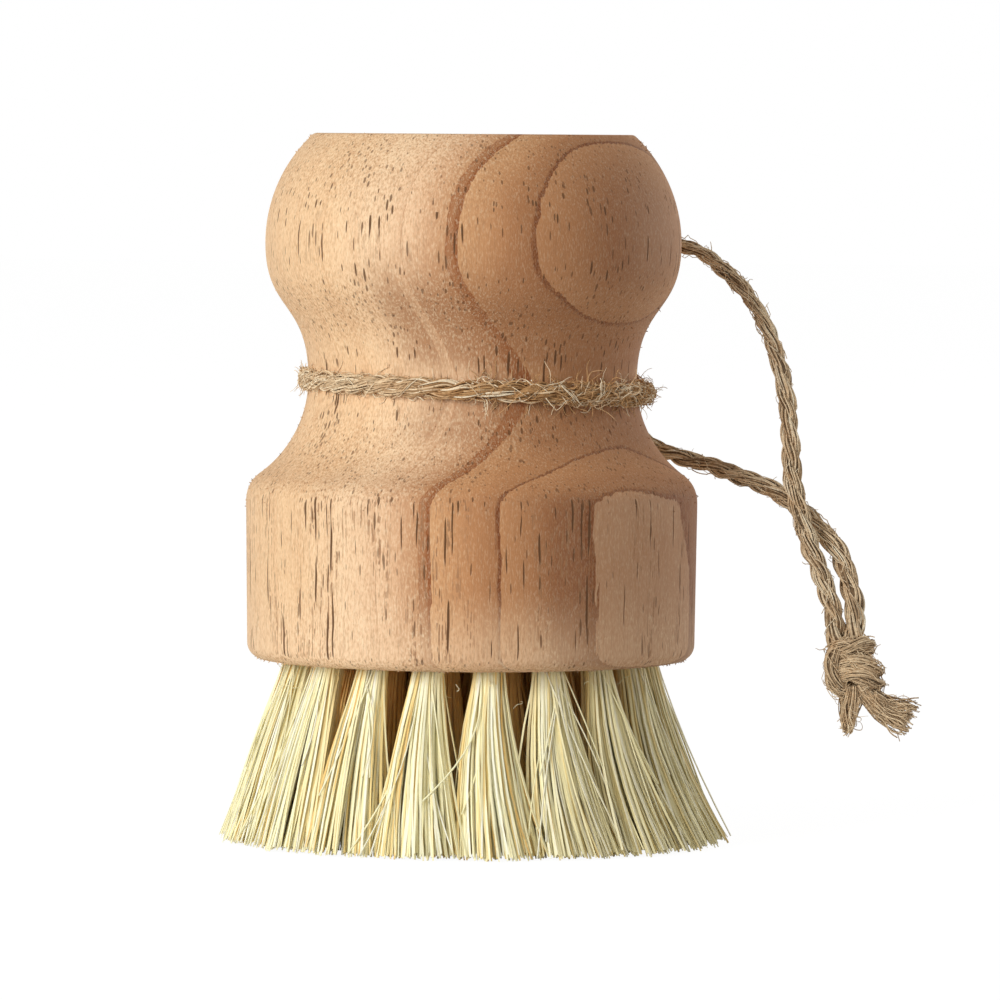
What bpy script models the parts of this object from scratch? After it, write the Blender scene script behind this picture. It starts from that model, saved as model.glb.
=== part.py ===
"""Palm dish brush: a turned wooden handle block, rings of stiff fibre tufts and a cord loop round its neck.

Metres, +Z up. The origin is the centre of the plane that the bristle tips stand on.
"""

import math

import bmesh
import bpy
from mathutils import Matrix, Vector

# Clearances and cuts
PIECE_GAP = 0.0003
CUT_OVERRUN = 0.001
AXIS_MERGE = 0.00001

# Turned handle block: depths are measured down from the flat crown
BLOCK_HEIGHT = 0.0572
BRISTLE_REACH = 0.0195
CROWN_RADIUS = 0.0174
BULB_RADIUS = 0.02266
BULB_DEPTH = 0.0119
NECK_RADIUS = 0.0179
NECK_DEPTH = 0.0268
SHOULDER_RADIUS = 0.0246
SHOULDER_DEPTH = 0.038
SHOULDER_ROUND = 0.0015
RIM_RADIUS = 0.0244
RIM_ROUND = 0.0017
BULB_HANDLE_SHARE = 0.52
NECK_HANDLE_SHARE = 0.58
BLOCK_FACETS = 48
BULB_POINTS = 7
THROAT_POINTS = 9
COVE_POINTS = 8
ROUND_POINTS = 4
SHARP_ANGLE = math.radians(35)

# Tufts: a drilled hole each, in rings round one in the middle
BRISTLE_SPREAD = 0.055
OUTER_RING_RADIUS = 0.0188
OUTER_RING_TUFTS = 18
SECOND_RING_TUFTS = 12
INNER_RING_TUFTS = 6
OUTER_RING_TURN = math.radians(-83.6)
SECOND_RING_TURN = math.radians(-103.1)
INNER_RING_TURN = math.radians(-78.0)
SECOND_RING_SHARE = 0.667
INNER_RING_SHARE = 0.333
TUFT_RADIUS = 0.00165
TUFT_ROOT_DEPTH = 0.0078
TUFT_TIP_REACH_OUT = 0.0029
TUFT_TIP_REACH_ROUND = 0.0041
STRAND_TIP_SHARE = 1.35
LATTICE_ROW_COUNT = 2

# Wire anchor that each tuft is folded over, at the bottom of its hole
ANCHOR_HEIGHT = 0.0012
ANCHOR_THICKNESS = 0.0004
ANCHOR_BITE = 0.0006
ANCHOR_FACET = 1

# Cord: one length of twine, tied round the neck and knotted to itself
CORD_DIAMETER = 0.002
CORD_STEP_SHARE = 2.0
CORD_BEVEL_RESOLUTION = 2
RING_TILT = 0.0005
NECK_KNOT_BEARING = math.radians(48.0)
NECK_KNOT_LENGTH = 0.0052
NECK_KNOT_END_RADIUS = 0.00125
NECK_KNOT_RADIUS = 0.0021
NECK_KNOT_TURNS = 2
RING_EASE_ANGLE = math.radians(30.0)
RING_ROUTE_POINTS = 25
END_KNOT_TOP = Vector((0.0411, 0.004, 0.0216))
END_KNOT_AXIS = Vector((0.221, 0.0, -0.975)).normalized()
END_KNOT_LENGTH = 0.0064
END_KNOT_END_RADIUS = 0.00225
END_KNOT_RADIUS = 0.0033
END_KNOT_TURNS = 3
KNOT_FACETS = 16
KNOT_POINTS = 13
KNOT_GROOVE_SHARE = 0.09
UPPER_LEG_OUT_SHARE = 0.5
UPPER_LEG_UP_SHARE = 0.87
LOWER_LEG_OUT_SHARE = 0.64
LOWER_LEG_UP_SHARE = -0.77
UPPER_LEG_ROUTE = [
    Vector((0.0167, 0.0180, 0.0566)),
    Vector((0.0187, 0.0180, 0.0600)),
    Vector((0.0212, 0.0164, 0.0630)),
    Vector((0.0236, 0.0146, 0.0641)),
    Vector((0.0258, 0.0128, 0.0634)),
    Vector((0.0279, 0.0113, 0.0617)),
    Vector((0.0300, 0.0100, 0.0594)),
    Vector((0.0318, 0.0089, 0.0567)),
    Vector((0.0333, 0.0079, 0.0530)),
    Vector((0.0341, 0.0072, 0.0498)),
    Vector((0.0347, 0.0067, 0.0471)),
    Vector((0.0350, 0.0063, 0.0442)),
    Vector((0.0352, 0.0060, 0.0415)),
    Vector((0.0354, 0.0057, 0.0391)),
    Vector((0.0358, 0.0054, 0.0370)),
    Vector((0.0364, 0.0051, 0.0348)),
    Vector((0.0372, 0.0048, 0.0322)),
    Vector((0.0379, 0.0045, 0.0298)),
    Vector((0.0387, 0.0042, 0.0271)),
    Vector((0.0394, 0.0040, 0.0245)),
]
LOWER_LEG_ROUTE = [
    Vector((0.0178, 0.0180, 0.0442)),
    Vector((0.0203, 0.0168, 0.0427)),
    Vector((0.0229, 0.0149, 0.0417)),
    Vector((0.0255, 0.0132, 0.0409)),
    Vector((0.0280, 0.0118, 0.0400)),
    Vector((0.0303, 0.0107, 0.0391)),
    Vector((0.0321, 0.0100, 0.0383)),
    Vector((0.0340, 0.0093, 0.0373)),
    Vector((0.0358, 0.0087, 0.0359)),
    Vector((0.0377, 0.0080, 0.0343)),
    Vector((0.0393, 0.0072, 0.0325)),
    Vector((0.0405, 0.0064, 0.0307)),
    Vector((0.0413, 0.0056, 0.0284)),
    Vector((0.0418, 0.0049, 0.0261)),
    Vector((0.0421, 0.0044, 0.0240)),
]
SHORT_TAIL_ROUTE = [
    Vector((0.0418, 0.0038, 0.0128)),
    Vector((0.0418, 0.0036, 0.0113)),
]
LONG_TAIL_ROUTE = [
    Vector((0.0448, 0.0040, 0.0134)),
    Vector((0.0463, 0.0040, 0.0130)),
    Vector((0.0482, 0.0039, 0.0129)),
]
ROUTE_SAMPLES = 12

CORD_RADIUS = CORD_DIAMETER / 2
CROWN_Z = BRISTLE_REACH + BLOCK_HEIGHT
HOLE_RADIUS = TUFT_RADIUS + PIECE_GAP
RING_RADIUS = NECK_RADIUS + PIECE_GAP + CORD_RADIUS
NECK_KNOT_ORBIT = NECK_RADIUS + PIECE_GAP + NECK_KNOT_RADIUS


def clear_scene():
    for existing in list(bpy.data.objects):
        bpy.data.objects.remove(existing, do_unlink=True)


def principled(name, colour, roughness):
    material = bpy.data.materials.new(name)
    material.use_nodes = True
    shader = material.node_tree.nodes["Principled BSDF"]
    shader.inputs["Base Color"].default_value = (*colour, 1.0)
    shader.inputs["Roughness"].default_value = roughness
    shader.inputs["Metallic"].default_value = 0.0
    material.diffuse_color = (*colour, 1.0)
    return material


def add_object(name, data, material, parent):
    made = bpy.data.objects.new(name, data)
    bpy.context.scene.collection.objects.link(made)
    data.materials.clear()
    data.materials.append(material)
    made.parent = parent
    return made


def shade_round(made):
    """Fixes the modifiers' result as the object's own mesh, shaded smooth but for its real edges."""
    graph = bpy.context.evaluated_depsgraph_get()
    mesh = bpy.data.meshes.new_from_object(made.evaluated_get(graph))
    made.modifiers.clear()
    made.data = mesh
    mesh.shade_smooth()
    mesh.set_sharp_from_angle(angle=SHARP_ANGLE)


def turned(name, profile, facets, material, parent):
    """A solid of revolution about its own Z, from (radius, height) points that run down its outer side."""
    mesh = bpy.data.meshes.new(name)
    points = [(radius, 0.0, height) for radius, height in profile]
    mesh.from_pydata(points, [(i, i + 1) for i in range(len(points) - 1)], [])
    made = add_object(name, mesh, material, parent)
    lathe = made.modifiers.new("lathe", "SCREW")
    lathe.steps = facets
    lathe.render_steps = facets
    lathe.use_merge_vertices = True
    lathe.merge_threshold = AXIS_MERGE
    return made


def swept_arc(centre, radius, start, end, count):
    angles = [start + (end - start) * i / (count - 1) for i in range(count)]
    return [(centre[0] + radius * math.cos(a), centre[1] + radius * math.sin(a)) for a in angles]


def cubic(a, b, c, d, count):
    found = []
    for i in range(count):
        t = i / (count - 1)
        u = 1.0 - t
        weights = (u**3, 3 * u * u * t, 3 * u * t * t, t**3)
        found.append(tuple(sum(w * p[k] for w, p in zip(weights, (a, b, c, d))) for k in range(2)))
    return found


def rounded_corner(before, corner, after, count):
    """Points of a smooth corner that leaves the outline at before and joins it again at after."""
    found = []
    for i in range(count):
        t = i / (count - 1)
        u = 1.0 - t
        found.append(
            tuple(u * u * before[k] + 2 * u * t * corner[k] + t * t * after[k] for k in range(2))
        )
    return found


def block_profile():
    """The turned outline from the crown's centre, down the outer side, to the underside's centre."""
    bulb_z = CROWN_Z - BULB_DEPTH
    neck_z = CROWN_Z - NECK_DEPTH
    shoulder_z = CROWN_Z - SHOULDER_DEPTH
    crown_step = BULB_RADIUS - CROWN_RADIUS
    bulb_arc = (BULB_DEPTH**2 + crown_step**2) / (2 * crown_step)
    bulb_centre = (BULB_RADIUS - bulb_arc, bulb_z)
    crown_angle = math.atan2(CROWN_Z - bulb_z, CROWN_RADIUS - bulb_centre[0])
    bulb = swept_arc(bulb_centre, bulb_arc, crown_angle, 0.0, BULB_POINTS)
    throat_drop = NECK_DEPTH - BULB_DEPTH
    throat = cubic(
        (BULB_RADIUS, bulb_z),
        (BULB_RADIUS, bulb_z - BULB_HANDLE_SHARE * throat_drop),
        (NECK_RADIUS, neck_z + NECK_HANDLE_SHARE * throat_drop),
        (NECK_RADIUS, neck_z),
        THROAT_POINTS,
    )
    cove_drop = neck_z - shoulder_z
    cove_step = SHOULDER_RADIUS - NECK_RADIUS
    cove_arc = (cove_drop**2 + cove_step**2) / (2 * cove_step)
    cove_end = math.pi + math.asin(cove_drop / cove_arc)
    cove_centre = (NECK_RADIUS + cove_arc, neck_z)
    cove_stop = cove_end - SHOULDER_ROUND / cove_arc
    cove = swept_arc(cove_centre, cove_arc, math.pi, cove_stop, COVE_POINTS)
    shoulder = rounded_corner(
        cove[-1],
        (SHOULDER_RADIUS, shoulder_z),
        (SHOULDER_RADIUS, shoulder_z - SHOULDER_ROUND),
        ROUND_POINTS,
    )
    rim_centre = (RIM_RADIUS - RIM_ROUND, BRISTLE_REACH + RIM_ROUND)
    rim = swept_arc(rim_centre, RIM_ROUND, 0.0, -math.pi / 2, ROUND_POINTS)
    outline = [(0.0, CROWN_Z)] + bulb + throat[1:] + cove[1:] + shoulder[1:] + rim
    return outline + [(0.0, BRISTLE_REACH)]


class TuftPlan:
    """How one ring's tufts lean and where their roots end, in a frame with the tuft on +X."""

    def __init__(self, ring_radius):
        self.radius = ring_radius
        tip_orbit = BRISTLE_SPREAD / 2 - TUFT_TIP_REACH_OUT
        flare = tip_orbit / OUTER_RING_RADIUS
        self.lean = ring_radius * (flare - 1.0) / BRISTLE_REACH
        self.mouth_z = BRISTLE_REACH - PIECE_GAP
        self.fold_z = BRISTLE_REACH + TUFT_ROOT_DEPTH
        self.end_z = self.fold_z + ANCHOR_HEIGHT

    def centre(self, height):
        return Vector((self.radius - self.lean * (height - BRISTLE_REACH), 0.0, height))


def bore_ring(mesh, plan, radius, height):
    """The vertices of a round section, six to a lattice row, the first on the tuft's own +X side."""
    centre = plan.centre(height)
    sides = 6 * LATTICE_ROW_COUNT
    found = []
    for i in range(sides):
        turn = 2 * math.pi * i / sides
        found.append(mesh.verts.new(centre + radius * Vector((math.cos(turn), math.sin(turn), 0.0))))
    return found


def wall_between(mesh, lower, upper):
    count = len(lower)
    return [
        mesh.faces.new((lower[i], lower[(i + 1) % count], upper[(i + 1) % count], upper[i]))
        for i in range(count)
    ]


def pull_out_wings(mesh, walls, reach, width):
    """The two ends of the anchor wire, drawn out of opposite walls, to a given width at their ends."""
    for wall in (walls[ANCHOR_FACET], walls[ANCHOR_FACET + len(walls) // 2]):
        outward = wall.normal.copy()
        pulled = bmesh.ops.extrude_discrete_faces(mesh, faces=[wall])["faces"][0]
        bmesh.ops.translate(mesh, vec=reach * outward, verts=pulled.verts)
        middle = pulled.calc_center_median()
        across = outward.cross(Vector((0.0, 0.0, 1.0))).normalized()
        edge_to_edge = max((v.co - middle).dot(across) for v in pulled.verts) * 2
        for vertex in pulled.verts:
            shift = (vertex.co - middle).dot(across)
            vertex.co += across * shift * (width / edge_to_edge - 1.0)


def hole_cutter_mesh(plan):
    """A drilled hole with room for the anchor's ends at its bottom, as a closed cutter."""
    mesh = bmesh.new()
    mouth = bore_ring(mesh, plan, HOLE_RADIUS, BRISTLE_REACH - CUT_OVERRUN)
    fold = bore_ring(mesh, plan, HOLE_RADIUS, plan.fold_z - PIECE_GAP)
    bottom = bore_ring(mesh, plan, HOLE_RADIUS, plan.end_z + PIECE_GAP)
    wall_between(mesh, mouth, fold)
    slots = wall_between(mesh, fold, bottom)
    mesh.faces.new(list(reversed(mouth)))
    mesh.faces.new(bottom)
    bmesh.ops.recalc_face_normals(mesh, faces=mesh.faces)
    slot_width = 2 * HOLE_RADIUS * math.sin(math.pi / len(mouth))
    pull_out_wings(mesh, slots, ANCHOR_BITE + PIECE_GAP, slot_width)
    return mesh


def lattice_points(rows):
    """Rows of a six-sided lattice as (column, row) steps, its edge marked so that it can be made round."""
    span = range(-rows, rows + 1)
    return [(i, j) for i in span for j in span if abs(i + j) <= rows]


def lattice_place(step, rows, radius):
    """Where a lattice step lies, with the outermost steps moved out to the round edge."""
    i, j = step
    place = Vector((i + j / 2, j * math.sqrt(3) / 2, 0.0)) / rows
    if max(abs(i), abs(j), abs(i + j)) == rows:
        place.normalize()
    return radius * place


def tuft_mesh(name, plan):
    """One tuft: its folded root with the anchor's ends, and strands that fan out to a flat trimmed end."""
    mesh = bmesh.new()
    steps = lattice_points(LATTICE_ROW_COUNT)
    mouth = plan.centre(plan.mouth_z)
    at = {s: mesh.verts.new(mouth + lattice_place(s, LATTICE_ROW_COUNT, TUFT_RADIUS)) for s in steps}
    bundles = []
    for i, j in steps:
        if (i + 1, j) in at and (i, j + 1) in at:
            bundles.append(mesh.faces.new((at[i, j], at[i, j + 1], at[i + 1, j])))
        if (i - 1, j) in at and (i, j - 1) in at:
            mesh.faces.new((at[i, j], at[i, j - 1], at[i - 1, j]))
    edge = [v for s, v in at.items() if max(abs(s[0]), abs(s[1]), abs(sum(s))) == LATTICE_ROW_COUNT]
    edge.sort(key=lambda v: math.atan2(v.co.y - mouth.y, v.co.x - mouth.x) % (2 * math.pi))
    fold = bore_ring(mesh, plan, TUFT_RADIUS, plan.fold_z)
    end = bore_ring(mesh, plan, TUFT_RADIUS, plan.end_z)
    wall_between(mesh, edge, fold)
    anchors = wall_between(mesh, fold, end)
    mesh.faces.new(end)
    bmesh.ops.recalc_face_normals(mesh, faces=mesh.faces)
    pull_out_wings(mesh, anchors, ANCHOR_BITE, ANCHOR_THICKNESS)

    strand_edge = STRAND_TIP_SHARE * TUFT_RADIUS / LATTICE_ROW_COUNT / math.sqrt(3)
    offsets = [face.calc_center_median() - mouth for face in bundles]
    splay_out = (TUFT_TIP_REACH_OUT - strand_edge) / max(offset.x for offset in offsets)
    splay_round = (TUFT_TIP_REACH_ROUND - strand_edge) / max(offset.y for offset in offsets)
    tip_centre = plan.centre(0.0)
    pulled = bmesh.ops.extrude_discrete_faces(mesh, faces=bundles)["faces"]
    for face in pulled:
        root = face.calc_center_median()
        offset = root - mouth
        tip = tip_centre + Vector((splay_out * offset.x, splay_round * offset.y, 0.0))
        for vertex in face.verts:
            vertex.co = tip + STRAND_TIP_SHARE * (vertex.co - root)
    made = bpy.data.meshes.new(name)
    mesh.to_mesh(made)
    mesh.free()
    return made


def tuft_rings():
    """(name, ring radius, count, first bearing) of each ring, from the rim inwards."""
    return [
        ("outer", OUTER_RING_RADIUS, OUTER_RING_TUFTS, OUTER_RING_TURN),
        ("second", SECOND_RING_SHARE * OUTER_RING_RADIUS, SECOND_RING_TUFTS, SECOND_RING_TURN),
        ("inner", INNER_RING_SHARE * OUTER_RING_RADIUS, INNER_RING_TUFTS, INNER_RING_TURN),
        ("centre", 0.0, 1, 0.0),
    ]


def add_tufts(material, parent):
    """Every tuft, and one cutter that holds all their holes."""
    holes = bmesh.new()
    for ring, radius, count, first in tuft_rings():
        plan = TuftPlan(radius)
        shared = tuft_mesh(f"tuft_{ring}_mesh", plan)
        for number in range(count):
            bearing = first + 2 * math.pi * number / count
            name = f"tuft_{ring}_{number + 1:02d}" if count > 1 else f"tuft_{ring}"
            tuft = add_object(name, shared, material, parent)
            tuft.rotation_euler.z = bearing
            hole = hole_cutter_mesh(plan)
            hole.transform(Matrix.Rotation(bearing, 4, "Z"))
            part = bpy.data.meshes.new(f"hole_{ring}_{number}")
            hole.to_mesh(part)
            hole.free()
            holes.from_mesh(part)
            bpy.data.meshes.remove(part)
    cutter_mesh = bpy.data.meshes.new("tuft_holes")
    holes.to_mesh(cutter_mesh)
    holes.free()
    cutter = add_object("tuft_holes_cutter", cutter_mesh, material, parent)
    cutter.hide_render = True
    cutter.display_type = "WIRE"
    return cutter


def add_block(material, cutter, parent):
    block = turned("handle_block", block_profile(), BLOCK_FACETS, material, parent)
    drill = block.modifiers.new("tuft_holes", "BOOLEAN")
    drill.operation = "DIFFERENCE"
    drill.solver = "EXACT"
    drill.object = cutter
    shade_round(block)


def smooth_route(points, step, straight):
    """Evenly spaced points on a smooth curve through the route's points, straight at both ends."""
    ends = [2 * points[0] - points[1]] + points + [2 * points[-1] - points[-2]]
    fine = []
    for a, b, c, d in zip(ends, ends[1:], ends[2:], ends[3:]):
        for k in range(ROUTE_SAMPLES):
            t = k / ROUTE_SAMPLES
            bend = 2 * a - 5 * b + 4 * c - d
            twist = 3 * b - a - 3 * c + d
            fine.append(0.5 * (2 * b + (c - a) * t + bend * t**2 + twist * t**3))
    fine.append(points[-1])
    run = [0.0]
    for a, b in zip(fine, fine[1:]):
        run.append(run[-1] + (b - a).length)
    inner = run[-1] - 2 * straight
    count = max(1, round(inner / step))
    wanted = [0.0] + [straight + inner * n / count for n in range(count + 1)] + [run[-1]]
    found, k = [], 0
    for distance in wanted:
        while k < len(run) - 2 and run[k + 1] < distance:
            k += 1
        found.append(fine[k].lerp(fine[k + 1], (distance - run[k]) / (run[k + 1] - run[k])))
    return found


def add_cord(name, points, material, parent):
    curve = bpy.data.curves.new(name, "CURVE")
    curve.dimensions = "3D"
    curve.bevel_depth = CORD_RADIUS
    curve.bevel_resolution = CORD_BEVEL_RESOLUTION
    curve.use_fill_caps = True
    spline = curve.splines.new("POLY")
    spline.points.add(len(points) - 1)
    for slot, point in zip(spline.points, points):
        slot.co = (*point, 1.0)
    return add_object(name, curve, material, parent)


def knot_profile(length, end_radius, middle_radius, turns):
    """A barrel whose side shows its wound turns as shallow ridges, flat at both ends."""
    outline = [(0.0, length / 2)]
    for i in range(KNOT_POINTS):
        t = i / (KNOT_POINTS - 1)
        belly = math.sqrt(max(0.0, 1.0 - (2 * t - 1) ** 2))
        groove = KNOT_GROOVE_SHARE * middle_radius * (1 + math.cos(2 * math.pi * turns * t)) / 2
        radius = end_radius + (middle_radius - end_radius) * belly - groove * belly
        outline.append((radius, length * (0.5 - t)))
    outline.append((0.0, -length / 2))
    return outline


def add_knot(name, centre, along, sizes, material, parent):
    """A knot as a turned barrel, its own Z laid along the given direction."""
    knot = turned(name, knot_profile(*sizes), KNOT_FACETS, material, parent)
    knot.location = centre
    knot.rotation_mode = "QUATERNION"
    knot.rotation_quaternion = along.to_track_quat("Z", "Y")
    shade_round(knot)


def knot_seat():
    """The neck knot's centre, and the level direction along it, counterclockwise round the neck."""
    bearing = Vector((math.cos(NECK_KNOT_BEARING), math.sin(NECK_KNOT_BEARING), 0.0))
    height = CROWN_Z - NECK_DEPTH - RING_TILT * bearing.x
    return NECK_KNOT_ORBIT * bearing + Vector((0.0, 0.0, height)), Vector((0.0, 0.0, 1.0)).cross(bearing)


def neck_ring_points():
    """The single turn round the neck, easing off the wood to meet both ends of the knot behind it."""
    centre, along = knot_seat()
    face = NECK_KNOT_LENGTH / 2 + PIECE_GAP
    start = [centre + reach * along for reach in (face, face + CORD_DIAMETER)]
    end = [centre - reach * along for reach in (face + CORD_DIAMETER, face)]
    turn = []
    for i in range(RING_ROUTE_POINTS):
        share = i / (RING_ROUTE_POINTS - 1)
        bearing = NECK_KNOT_BEARING + RING_EASE_ANGLE + share * 2 * (math.pi - RING_EASE_ANGLE)
        height = CROWN_Z - NECK_DEPTH - RING_TILT * math.cos(bearing)
        turn.append(Vector((RING_RADIUS * math.cos(bearing), RING_RADIUS * math.sin(bearing), height)))
    return smooth_route(start + turn + end, CORD_STEP_SHARE * CORD_DIAMETER, CORD_DIAMETER)


def leg_points(out_share, up_share, route, end_side):
    """One leg of the loop: square out of the neck knot's side, along its route, into the end knot's top."""
    knot_centre, along = knot_seat()
    leaves = out_share * along.cross(Vector((0.0, 0.0, 1.0))) + up_share * Vector((0.0, 0.0, 1.0))
    leaves.normalize()
    start = knot_centre + (NECK_KNOT_RADIUS + PIECE_GAP) * leaves
    across = END_KNOT_AXIS.cross(Vector((0.0, 1.0, 0.0))).normalized()
    end = END_KNOT_TOP + end_side * across * (CORD_RADIUS + PIECE_GAP / 2) - PIECE_GAP * END_KNOT_AXIS
    straight_end = end - CORD_DIAMETER * END_KNOT_AXIS
    points = [start, start + CORD_DIAMETER * leaves] + route + [straight_end, end]
    return smooth_route(points, CORD_STEP_SHARE * CORD_DIAMETER, CORD_DIAMETER)


def tail_points(end_side, route):
    """A cut end of the twine, out of the end knot's flat underside."""
    across = END_KNOT_AXIS.cross(Vector((0.0, 1.0, 0.0))).normalized()
    bottom = END_KNOT_TOP + END_KNOT_LENGTH * END_KNOT_AXIS
    start = bottom + end_side * across * (CORD_RADIUS + PIECE_GAP / 2) + PIECE_GAP * END_KNOT_AXIS
    points = [start, start + CORD_RADIUS * END_KNOT_AXIS] + route
    return smooth_route(points, CORD_RADIUS, CORD_RADIUS)


def add_cord_loop(material, parent):
    """The whole cord, which turns as one round the neck."""
    knot_centre, round_neck = knot_seat()
    neck_sizes = (NECK_KNOT_LENGTH, NECK_KNOT_END_RADIUS, NECK_KNOT_RADIUS, NECK_KNOT_TURNS)
    end_sizes = (END_KNOT_LENGTH, END_KNOT_END_RADIUS, END_KNOT_RADIUS, END_KNOT_TURNS)
    add_cord("cord_neck_ring", neck_ring_points(), material, parent)
    add_knot("cord_neck_knot", knot_centre, round_neck, neck_sizes, material, parent)
    upper = leg_points(UPPER_LEG_OUT_SHARE, UPPER_LEG_UP_SHARE, UPPER_LEG_ROUTE, -1)
    lower = leg_points(LOWER_LEG_OUT_SHARE, LOWER_LEG_UP_SHARE, LOWER_LEG_ROUTE, 1)
    add_cord("cord_leg_upper", upper, material, parent)
    add_cord("cord_leg_lower", lower, material, parent)
    end_centre = END_KNOT_TOP + END_KNOT_LENGTH / 2 * END_KNOT_AXIS
    add_knot("cord_end_knot", end_centre, -END_KNOT_AXIS, end_sizes, material, parent)
    add_cord("cord_tail_short", tail_points(-1, SHORT_TAIL_ROUTE), material, parent)
    add_cord("cord_tail_long", tail_points(1, LONG_TAIL_ROUTE), material, parent)


def add_axis(name):
    """An empty on the brush's axis, which carries one body."""
    made = bpy.data.objects.new(name, None)
    bpy.context.scene.collection.objects.link(made)
    return made


def build():
    clear_scene()
    wood = principled("turned_wood", (0.66, 0.44, 0.28), 0.6)
    fibre = principled("plant_fibre", (0.82, 0.74, 0.47), 0.55)
    twine = principled("jute_twine", (0.45, 0.33, 0.2), 0.85)
    brush_axis = add_axis("brush_axis")
    cord_axis = add_axis("cord_turning_axis")
    cutter = add_tufts(fibre, brush_axis)
    add_block(wood, cutter, brush_axis)
    add_cord_loop(twine, cord_axis)


build()
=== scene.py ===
"""The looks of a palm dish brush: its turned block, fibre tufts and jute twine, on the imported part."""

import math

import bmesh
import bpy
import numpy as np
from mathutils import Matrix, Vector


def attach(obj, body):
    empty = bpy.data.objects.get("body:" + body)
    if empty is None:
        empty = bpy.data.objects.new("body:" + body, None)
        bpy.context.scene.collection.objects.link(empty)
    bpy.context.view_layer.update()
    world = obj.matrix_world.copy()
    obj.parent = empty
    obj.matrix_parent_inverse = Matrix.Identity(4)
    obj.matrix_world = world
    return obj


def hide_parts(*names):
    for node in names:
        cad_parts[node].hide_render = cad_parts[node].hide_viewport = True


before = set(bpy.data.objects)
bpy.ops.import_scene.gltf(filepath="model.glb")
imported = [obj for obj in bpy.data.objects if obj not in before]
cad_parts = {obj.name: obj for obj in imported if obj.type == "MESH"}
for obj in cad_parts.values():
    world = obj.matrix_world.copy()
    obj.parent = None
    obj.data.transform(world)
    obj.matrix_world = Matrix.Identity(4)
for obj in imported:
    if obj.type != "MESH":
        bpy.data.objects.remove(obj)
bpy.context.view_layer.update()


# Camera
# A long lens held level with the crown, which is seen edge-on, and tipped down a little, so that the trimmed
# ends of the front tufts show lower than those at the sides. It is rolled slightly, as if held by hand.
CAMERA_PLACE = (0.0028, -0.88, 0.0767)
CAMERA_DIP = math.radians(2.594)
CAMERA_ROLL = math.radians(-0.4)
LENS_MM = 290.8
SENSOR_MM = 36.0


def placed(name, data):
    """A new object in the scene."""
    made = bpy.data.objects.new(name, data)
    bpy.context.scene.collection.objects.link(made)
    return made


camera = placed("camera", bpy.data.cameras.new("camera"))
camera.data.lens = LENS_MM
camera.data.sensor_width = SENSOR_MM
camera.location = CAMERA_PLACE
camera.rotation_euler = (math.pi / 2 - CAMERA_DIP, CAMERA_ROLL, 0.0)
bpy.context.scene.camera = camera


# Handle block
# One piece of pale, open-pored hardwood, turned to a flat crown, a bulb for the palm, a neck for the twine
# and a drum. It is left bare. Its growth layers curve round a pith that lay outside it, behind its left side.
CROWN_Z = 0.0767
UNDERSIDE_Z = 0.0195
CROWN_RADIUS = 0.0174
CROWN_EDGE_ROUND = 0.0003
BULB_RADIUS = 0.02266
BULB_DEPTH = 0.0119
NECK_RADIUS = 0.0179
NECK_DEPTH = 0.0268
SHOULDER_RADIUS = 0.0246
SHOULDER_DEPTH = 0.038
SHOULDER_ROUND = 0.0021
RIM_RADIUS = 0.0244
RIM_ROUND = 0.0017
BULB_HANDLE_SHARE = 0.52
NECK_HANDLE_SHARE = 0.58
BLOCK_FACETS = 240
SHARP_ANGLE = math.radians(40)
# Points along the outline's stretches
EDGE_STEPS, BULB_STEPS, THROAT_STEPS, COVE_STEPS = 6, 26, 30, 22
SHOULDER_STEPS, DRUM_STEPS, RIM_STEPS = 9, 14, 9

HOLE_RADIUS = 0.00195
HOLE_DEPTH = 0.0093
HOLE_FACETS = 20
BRISTLE_SPREAD = 0.055
TUFT_TIP_REACH_OUT = 0.0029
OUTER_RING_RADIUS = 0.0188
FLARE = (BRISTLE_SPREAD / 2 - TUFT_TIP_REACH_OUT) / OUTER_RING_RADIUS
# Each ring of tufts: its name, its radius, how many there are, and the bearing of the first
TUFT_RINGS = (
    ("outer", OUTER_RING_RADIUS, 18, math.radians(-83.6)),
    ("second", 0.667 * OUTER_RING_RADIUS, 12, math.radians(-103.1)),
    ("inner", 0.333 * OUTER_RING_RADIUS, 6, math.radians(-78.0)),
    ("centre", 0.0, 1, 0.0),
)


def arc(centre, radius, start, end, count):
    turns = np.linspace(start, end, count)
    return np.stack([centre[0] + radius * np.cos(turns), centre[1] + radius * np.sin(turns)], axis=1)


def bezier(corners, count):
    """Points of a smooth curve led by three or four corners."""
    degree = len(corners) - 1
    t = np.linspace(0.0, 1.0, count)[:, None]
    weights = [math.comb(degree, k) * t**k * (1 - t) ** (degree - k) for k in range(degree + 1)]
    return sum(weight * np.array(corner) for weight, corner in zip(weights, corners))


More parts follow.
